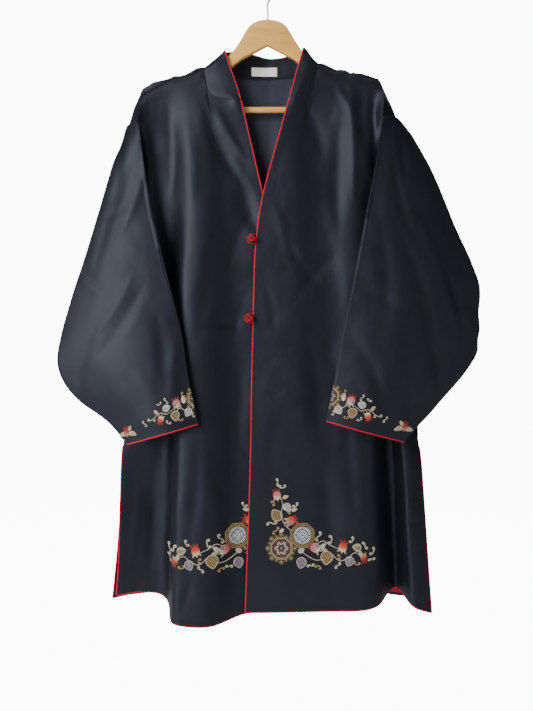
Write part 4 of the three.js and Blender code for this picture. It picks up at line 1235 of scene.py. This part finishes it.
def fruit(work, x, z, size, angle, skin, blush, crown=CRIMSON, seeds=False, sepals=True):
    """A pomegranate or bud: its crown is at the far end and its sepals are at the stem."""
    if sepals:
        for spread, reach in ((-142, 0.62), (142, 0.62), (180, 0.5)):
            place = polar(x, z, size * 0.52, angle + spread)
            leaf(work, *place, size * reach, angle + spread, CREAM, OLIVE, None, 0.42)
    for spread in (-30, 0, 30):
        place = polar(x, z, size * 0.62, angle + spread)
        leaf(work, *place, size * 0.46, angle + spread, crown, SCARLET, None, 0.5)
    rho = np.linspace(0, 1, max(int(size / 2 / STITCH), 5))[:, None]
    theta = np.linspace(0, 2 * math.pi, max(int(3 * size / STITCH), 16))[None]
    u = rho * size / 2 * np.cos(theta) * 1.02
    v = rho * size / 2 * np.sin(theta) * 0.92
    heights = 0.2 + 1.1 * np.sqrt(1 - 0.97 * rho**2) + 0 * theta
    along = u / size + 0.5
    tones = shade(blush, skin, ramp(along, 0.05, 0.6)) * (1 - 0.5 * ramp(along, 0.7, 1.05))[..., None]
    work.patch(turned(x, z, angle, u, v), heights, tones, np.stack([v, u], axis=-1))
    if seeds:
        seat = turned(x, z, angle, np.array(-size * 0.1), np.array(-size * 0.2))
        disc(work, *seat, size * 0.3, INK, INK, 1.25, squash=0.8, angle=angle)
        for row in (-1, 0, 1):
            for column in (-1, 0, 1):
                step = size * 0.165
                u1, v1 = -size * 0.1 + (column + 0.5 * row) * step * 0.9, -size * 0.2 + row * step * 0.75
                seat = turned(x, z, angle, np.array(u1), np.array(v1))
                disc(work, *seat, size * 0.066, WHITE, ICE, 1.75)


def rosette(work, x, z, radius):
    """An eight-lobed medallion with a star flower in an eight-sided frame."""
    disc(work, x, z, radius, BRONZE, BRONZE, 0.5, lobes=8, depth=0.16)
    for n in range(8):
        place = polar(x, z, radius * 0.83, 45 * n)
        disc(work, *place, radius * 0.15, BRONZE, OLIVE, 0.8)
        disc(work, *place, radius * 0.062, CREAM, GOLD, 1.3)
        place = polar(x, z, radius * 0.8, 45 * n + 22.5)
        leaf(work, *place, radius * 0.2, 45 * n + 22.5, GOLD, OLIVE, None, 0.55)
    corners = [22.5 + 45 * n for n in range(9)]
    for reach, tone, width in ((0.69, GOLD, 1.7), (0.61, CREAM, 1.2)):
        for a, b in zip(corners, corners[1:]):
            side = [polar(x, z, radius * reach * 0.97 / math.cos((t - 0.5) * math.radians(45)), mix(a, b, t))
                    for t in np.linspace(0, 1, 5)]
            ribbon(work, side, width, tone, 1.0)
    disc(work, x, z, radius * 0.55, BRONZE, INK, 0.6)
    for n in range(6):
        place = polar(x, z, radius * 0.36, 60 * n + 30)
        leaf(work, *place, radius * 0.3, 60 * n + 30, SCARLET, CRIMSON, None, 1.25)
        place = polar(x, z, radius * 0.27, 60 * n)
        leaf(work, *place, radius * 0.46, 60 * n, WHITE, ICE, None, 0.9)
    disc(work, x, z, radius * 0.1, OLIVE, GOLD, 1.5)


def roundel(work, x, z, radius):
    """A pale disc with a wheel of dark rings and bars, in an eight-sided bronze frame."""
    corners = [22.5 + 45 * n for n in range(9)]
    for reach, tone, width in ((1.38, OLIVE, 3.4), (1.52, GOLD, 1.2), (1.22, GOLD, 1.1)):
        for a, b in zip(corners, corners[1:]):
            start, end = (np.array(polar(x, z, radius * reach, corner)) for corner in (a, b))
            side = [mix(start, end, t) for t in np.linspace(0, 1, 5)]
            ribbon(work, side, width, tone, 0.6)
    disc(work, x, z, radius, WHITE, ICE, 0.7)
    for reach, tone, width in ((0.98, CREAM, 1.3), (0.68, INK, 1.7), (0.36, INK, 1.6)):
        ring = [polar(x, z, radius * reach, angle) for angle in np.linspace(0, 360, 17)]
        ribbon(work, ring, width, tone, 1.25)
    for n in range(8):
        start, end = (0.4, 0.64) if n % 2 else (0.72, 0.94)
        bar_line = [polar(x, z, radius * t, 45 * n) for t in np.linspace(start, end, 4)]
        ribbon(work, bar_line, 1.7, INK, 1.3)
    disc(work, x, z, radius * 0.14, INK, INK, 1.4)


def hem_spray(work):
    for points in (
        [[24, -930], [26, -942], [23, -955], [30, -975], [40, -985]],
        [[58, -1020], [70, -1029], [84, -1035], [97, -1034]],
        [[84, -1008], [96, -1003], [108, -1010], [122, -1016]],
        [[112, -1026], [124, -1036], [140, -1030], [150, -1022], [163, -1028]],
    ):
        ribbon(work, points, 1.5, CREAM, taper=0.3)
    for x, z, size, angle, curl, tone, twist in (
        (17, -902, 15, 70, 5.0, CREAM, 1), (26, -909, 12, 10, 4.6, CREAM, 0),
        (9, -938, 10, 120, 4.6, GOLD, 0),
        (48, -941, 12, 35, 5.0, CREAM, 0), (7, -972, 20, 160, 5.2, CREAM, 1),
        (14, -985, 17, 20, 5.0, GOLD, 1),
        (36, -952, 10, -60, 4.4, GOLD, 0), (88, -995, 19, 30, 5.2, CREAM, 1),
        (108, -1001, 16, 80, 5.4, CREAM, 0),
        (74, -1044, 14, -20, 5.0, CREAM, 1), (87, -1047, 12, 160, 4.6, GOLD, 0),
        (121, -1044, 15, 15, 5.0, CREAM, 1), (123, -1030, 10, 100, 4.6, GOLD, 0),
        (145, -1000, 12, 60, 4.8, CREAM, 0), (168, -1010, 16, 95, 5.2, CREAM, 1),
        (181, -1020, 15, 60, 5.2, CREAM, 0), (180, -1034, 13, -25, 4.8, CREAM, 1),
        (154, -1040, 12, -10, 4.6, GOLD, 0),
    ):
        scroll(work, x, z, size, angle, curl, tone, twist)
    for x, z, size, angle, inner, outer, width in (
        (31, -927, 10, 20, CREAM, OLIVE, 0.5), (34, -945, 16, -55, LAVENDER, WHITE, 0.8),
        (46, -949, 10, 15, WHITE, LAVENDER, 0.55), (58, -1019, 11, 25, LAVENDER, WHITE, 0.7),
        (96, -1011, 12, 35, CREAM, WHITE, 0.5), (98, -1018, 10, -15, CREAM, OLIVE, 0.5),
        (154, -1013, 15, 170, OLIVE, CREAM, 0.85), (141, -1037, 17, -110, LAVENDER, DUSK, 0.85),
        (160, -1022, 9, 120, CREAM, OLIVE, 0.5), (24, -985, 9, -140, CREAM, WHITE, 0.5),
    ):
        leaf(work, x, z, size, angle, inner, outer, CREAM, width)
    leaf(work, 15, -958, 22, 128, BRONZE, BRONZE, CREAM, 0.8, GOLD)
    leaf(work, 58, -1040, 19, -105, DUSK, DUSK, CREAM, 0.85, LAVENDER)
    leaf(work, 102, -1032, 23, -100, BRONZE, BRONZE, CREAM, 0.9, GOLD)
    fruit(work, 16, -924, 15, 100, PINK, CREAM)
    fruit(work, 40, -968, 17, 20, ORANGE, PINK, SCARLET, True)
    fruit(work, 82, -1014, 18, 150, PINK, CREAM, CRIMSON, True)
    fruit(work, 130, -1013, 16, 75, ORANGE, CREAM, SCARLET)
    fruit(work, 166, -1031, 13, -70, SCARLET, GOLD, CRIMSON)
    roundel(work, 60, -993, 14.5)
    rosette(work, 23.5, -1015, 28)


def cuff_spray(work):
    ribbon(work, [[118, -762], [126, -770], [134, -766], [141, -771]], 1.4, CREAM, taper=0.3)
    ribbon(work, [[148, -768], [158, -775], [170, -773], [182, -782]], 1.4, CREAM, taper=0.3)
    for x, z, size, angle, curl, tone, twist in (
        (111, -779, 9, 70, 4.8, CREAM, 0), (160, -753, 13, 25, 5.0, CREAM, 1),
        (172, -757, 9, -30, 4.6, CREAM, 0),
        (186, -784, 16, -25, 5.2, CREAM, 1), (199, -790, 13, 20, 5.0, CREAM, 1),
        (133, -786, 9, 0, 4.4, GOLD, 0), (155, -789, 10, 30, 4.6, CREAM, 0),
        (130, -744, 10, 60, 4.6, GOLD, 0),
    ):
        scroll(work, x, z, size, angle, curl, tone, twist, 1.5)
    for x, z, size, angle, inner, outer, width in (
        (129, -752, 13, 75, CREAM, WHITE, 0.5), (120, -774, 15, -60, LAVENDER, WHITE, 0.85),
        (159, -765, 14, 155, LAVENDER, WHITE, 0.8), (178, -771, 9, 40, CREAM, OLIVE, 0.5),
        (222, -806, 14, 200, CREAM, BRONZE, 0.5), (243, -808, 13, -20, CREAM, BRONZE, 0.5),
        (228, -797, 9, 120, CREAM, OLIVE, 0.5),
    ):
        leaf(work, x, z, size, angle, inner, outer, CREAM, width)
    leaf(work, 143, -779, 17, -100, BRONZE, BRONZE, CREAM, 0.85, GOLD)
    fruit(work, 141, -758, 15, 75, PINK, CREAM, CRIMSON, True)
    fruit(work, 169, -784, 12, -75, ORANGE, CREAM, SCARLET)
    fruit(work, 234, -803, 13, 80, SCARLET, PINK, CRIMSON)
    rosette(work, 105, -750, 23)


def mirrored(x, z):
    return 7.6 - x, z


def right_cuff(x, z):
    return -122 - 0.93 * (x - 106), z - 3 - 0.045 * (x - 106)


def as_drawn(x, z):
    return x, z


for name, panel, layout, spray in (
    ("embroidery_left_hem", "front_left", as_drawn, hem_spray),
    ("embroidery_right_hem", "front_right", mirrored, hem_spray),
    ("embroidery_left_cuff", "sleeve_left", as_drawn, cuff_spray),
    ("embroidery_right_cuff", "sleeve_right", right_cuff, cuff_spray),
):
    work = Stitching(panels[panel], layout)
    spray(work)
    work.finish(name)


# ---- Hanger --------------------------------------------------------------------------------------
# A flat hanger cut from pale varnished wood, with rounded edges and an arched top. A round bar sits in
# sockets in its two ends, and a bright steel hook is screwed into its crown.
HANGER_THICK = 12.0
HANGER_BEVEL = 2.5
HANGER_TOP = [
    [0, -78], [15, -80], [30.9, -88], [40, -100], [46, -110.5], [53.5, -122.5], [60, -132], [68.6, -141.5],
    [76, -149.5], [88.7, -161], [109, -171], [131, -179.5], [158, -188.5], [180, -197], [190, -203],
]
HANGER_UNDER = [[194, -209], [194, -244], [190, -250], [178, -249], [172, -230], [150, -214], [110, -192],
                [62.5, -162], [46.8, -149], [0, -124.5]]
BAR_Z = -239.5
BAR = 5.4
BAR_HALF = 182.0
WIRE = 1.75
HOOK = 19.0


def varnished_wood(name, along):
    wood = Finish(name)
    place = wood.place()
    stretch = {"X": (5.0, 60.0, 60.0), "Z": (60.0, 60.0, 5.0)}[along]
    grain = wood.cloud(wood.scaled(place, stretch), 1.6, 6.0, 0.6)
    streaks = wood.cloud(wood.scaled(place, tuple(s * 5 for s in stretch)), 1.4, 3.0)
    pores = wood.cloud(wood.scaled(place, tuple(s * 12 for s in stretch)), 1.2, 2.0)
    tone = grain * 0.55 + streaks * 0.3 + pores * 0.15
    stops = [(0.3, (0.62, 0.30, 0.062)), (0.5, (0.80, 0.42, 0.096)), (0.72, (0.90, 0.51, 0.13))]
    return wood.surface(
        Base_Color=wood.ramp(tone, stops),
        Roughness=0.36 + streaks * 0.12,
        Coat_Weight=0.25,
        Coat_Roughness=0.25,
        Normal=wood.bump(tone, 0.12, 0.0004),
    )


body_wood = varnished_wood("hanger_wood", "X")


def hanger_outline():
    top = spline(np.array(HANGER_TOP, float), 46)
    half = [*top.tolist(), *HANGER_UNDER]
    return half + [[-x, z] for x, z in reversed(half) if x > 0]


outline = hanger_outline()
front_y = -HANGER_THICK / 2
hanger_front = [(x * MM, front_y * MM, z * MM) for x, z in outline]
hanger = new_piece("hanger_arms", hanger_front, [list(range(len(outline)))], body_wood)
bpy.ops.object.select_all(action="DESELECT")
bpy.context.view_layer.objects.active = hanger
hanger.select_set(True)
bpy.ops.object.mode_set(mode="EDIT")
bpy.ops.mesh.select_all(action="SELECT")
bpy.ops.mesh.extrude_region_move(TRANSFORM_OT_translate={"value": (0, HANGER_THICK * MM, 0)})
bpy.ops.mesh.select_all(action="SELECT")
bpy.ops.mesh.normals_make_consistent(inside=False)
bpy.ops.object.mode_set(mode="OBJECT")
rounding = hanger.modifiers.new("rounding", "BEVEL")
rounding.width = HANGER_BEVEL * MM
rounding.segments = 4
rounding.limit_method = "ANGLE"
rounding.angle_limit = math.radians(60)
bpy.ops.object.modifier_apply(modifier="rounding")
bpy.ops.object.shade_smooth_by_angle(angle=math.radians(35))
hanger.select_set(False)
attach(hanger, "root")
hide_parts("hanger_body")

bar_path = [[x, 0.0, BAR_Z] for x in np.linspace(-BAR_HALF, BAR_HALF, 60)]
bar = cord("hanger_round_bar", bar_path, BAR, body_wood, sides=32)
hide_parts("hanger_bar")

steel = Finish("bright_steel_wire")
drawn = steel.cloud(steel.scaled(steel.uv(), (60.0, 900.0, 1.0)), 1.0)
steel_wire = steel.surface(
    Base_Color=steel.ramp(drawn, [(0.3, (0.42, 0.43, 0.45)), (0.7, (0.62, 0.63, 0.65))]),
    Metallic=1.0,
    Roughness=0.2 + drawn * 0.15,
    Normal=steel.bump(drawn, 0.08, 0.0002),
)
bend = HOOK + WIRE
wire_points = [[0, 0, -94], [0, 0, -75], [0, 0, -60], [0, 0, -48], [4, 0, -41]]
for angle in np.arange(-40, 205.1, 17.5):
    turn = math.radians(angle)
    wire_points.append([bend * math.cos(turn), 0, bend * math.sin(turn) - HOOK])
hook = cord("hanger_wire_hook", spline(np.array(wire_points, float), 110), WIRE, steel_wire, sides=16)
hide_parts("hanger_hook")


# ---- Studio --------------------------------------------------------------------------------------
# A plain white floor and surroundings, large soft lights, and the camera straight in front. The white is
# only for the eye: what falls on the cloth comes from the lights.
EYE = (-2.2, -1400.0, -681.4)
LENS = 39.38
WHITE_SEEN = 11.0
WHITE_CAST = 0.05
FLOOR_Z = -1520.0
FLOOR_HALF = 6000.0
corners = [(-1, -1), (1, -1), (1, 1), (-1, 1)]
verts = [(x * FLOOR_HALF * MM, y * FLOOR_HALF * MM, FLOOR_Z * MM) for x, y in corners]
paper = Finish("pale_paper")
fibre = paper.cloud(paper.place(), 8.0)
seen = paper.node("ShaderNodeLightPath")["Is Camera Ray"]
pale_paper = paper.surface(
    Base_Color=paper.ramp(fibre, [(0.3, (0.90, 0.90, 0.90)), (0.7, (0.93, 0.93, 0.93))]),
    Roughness=0.9,
    Emission_Color=paper.ramp(seen, [(0.0, (0.02, 0.02, 0.02)), (1.0, (1.0, 1.0, 1.0))]),
    Emission_Strength=WHITE_SEEN,
)
floor = new_piece("pale_floor", verts, [(0, 1, 2, 3)], pale_paper)


def soft_light(name, place, target, size, power):
    light = bpy.data.lights.new(name, "AREA")
    light.shape = "RECTANGLE"
    light.size, light.size_y = size
    light.energy = power
    lamp = bpy.data.objects.new(name, light)
    lamp.location = place
    lamp.rotation_euler = (Vector(target) - Vector(place)).to_track_quat("-Z", "Y").to_euler()
    bpy.context.collection.objects.link(lamp)


soft_light("window", (-1.5, -1.7, 0.1), (0, 0, -0.65), (1.3, 2.0), 78.0)
soft_light("fill", (1.9, -1.9, -0.3), (0, 0, -0.7), (1.6, 2.0), 8.0)
soft_light("top", (0.0, -0.5, 1.5), (0, 0, -0.6), (1.6, 1.0), 8.0)
soft_light("rear", (0.6, 2.4, 0.3), (0, 0, -0.65), (1.6, 2.0), 30.0)

world = bpy.data.worlds.new("studio")
bpy.context.scene.world = world
world.use_nodes = True
around = world.node_tree.nodes["Background"]
around.inputs["Color"].default_value = (1.0, 1.0, 1.0, 1.0)
path = world.node_tree.nodes.new("ShaderNodeLightPath")
strength = world.node_tree.nodes.new("ShaderNodeMath")
strength.operation = "MULTIPLY_ADD"
strength.inputs[1].default_value = WHITE_SEEN
strength.inputs[2].default_value = WHITE_CAST
world.node_tree.links.new(path.outputs["Is Camera Ray"], strength.inputs[0])
world.node_tree.links.new(strength.outputs[0], around.inputs["Strength"])

camera = bpy.data.objects.new("camera", bpy.data.cameras.new("camera"))
camera.data.lens = LENS
camera.location = [value * MM for value in EYE]
camera.rotation_euler = (math.pi / 2, 0, 0)
bpy.context.collection.objects.link(camera)
bpy.context.scene.camera = camera
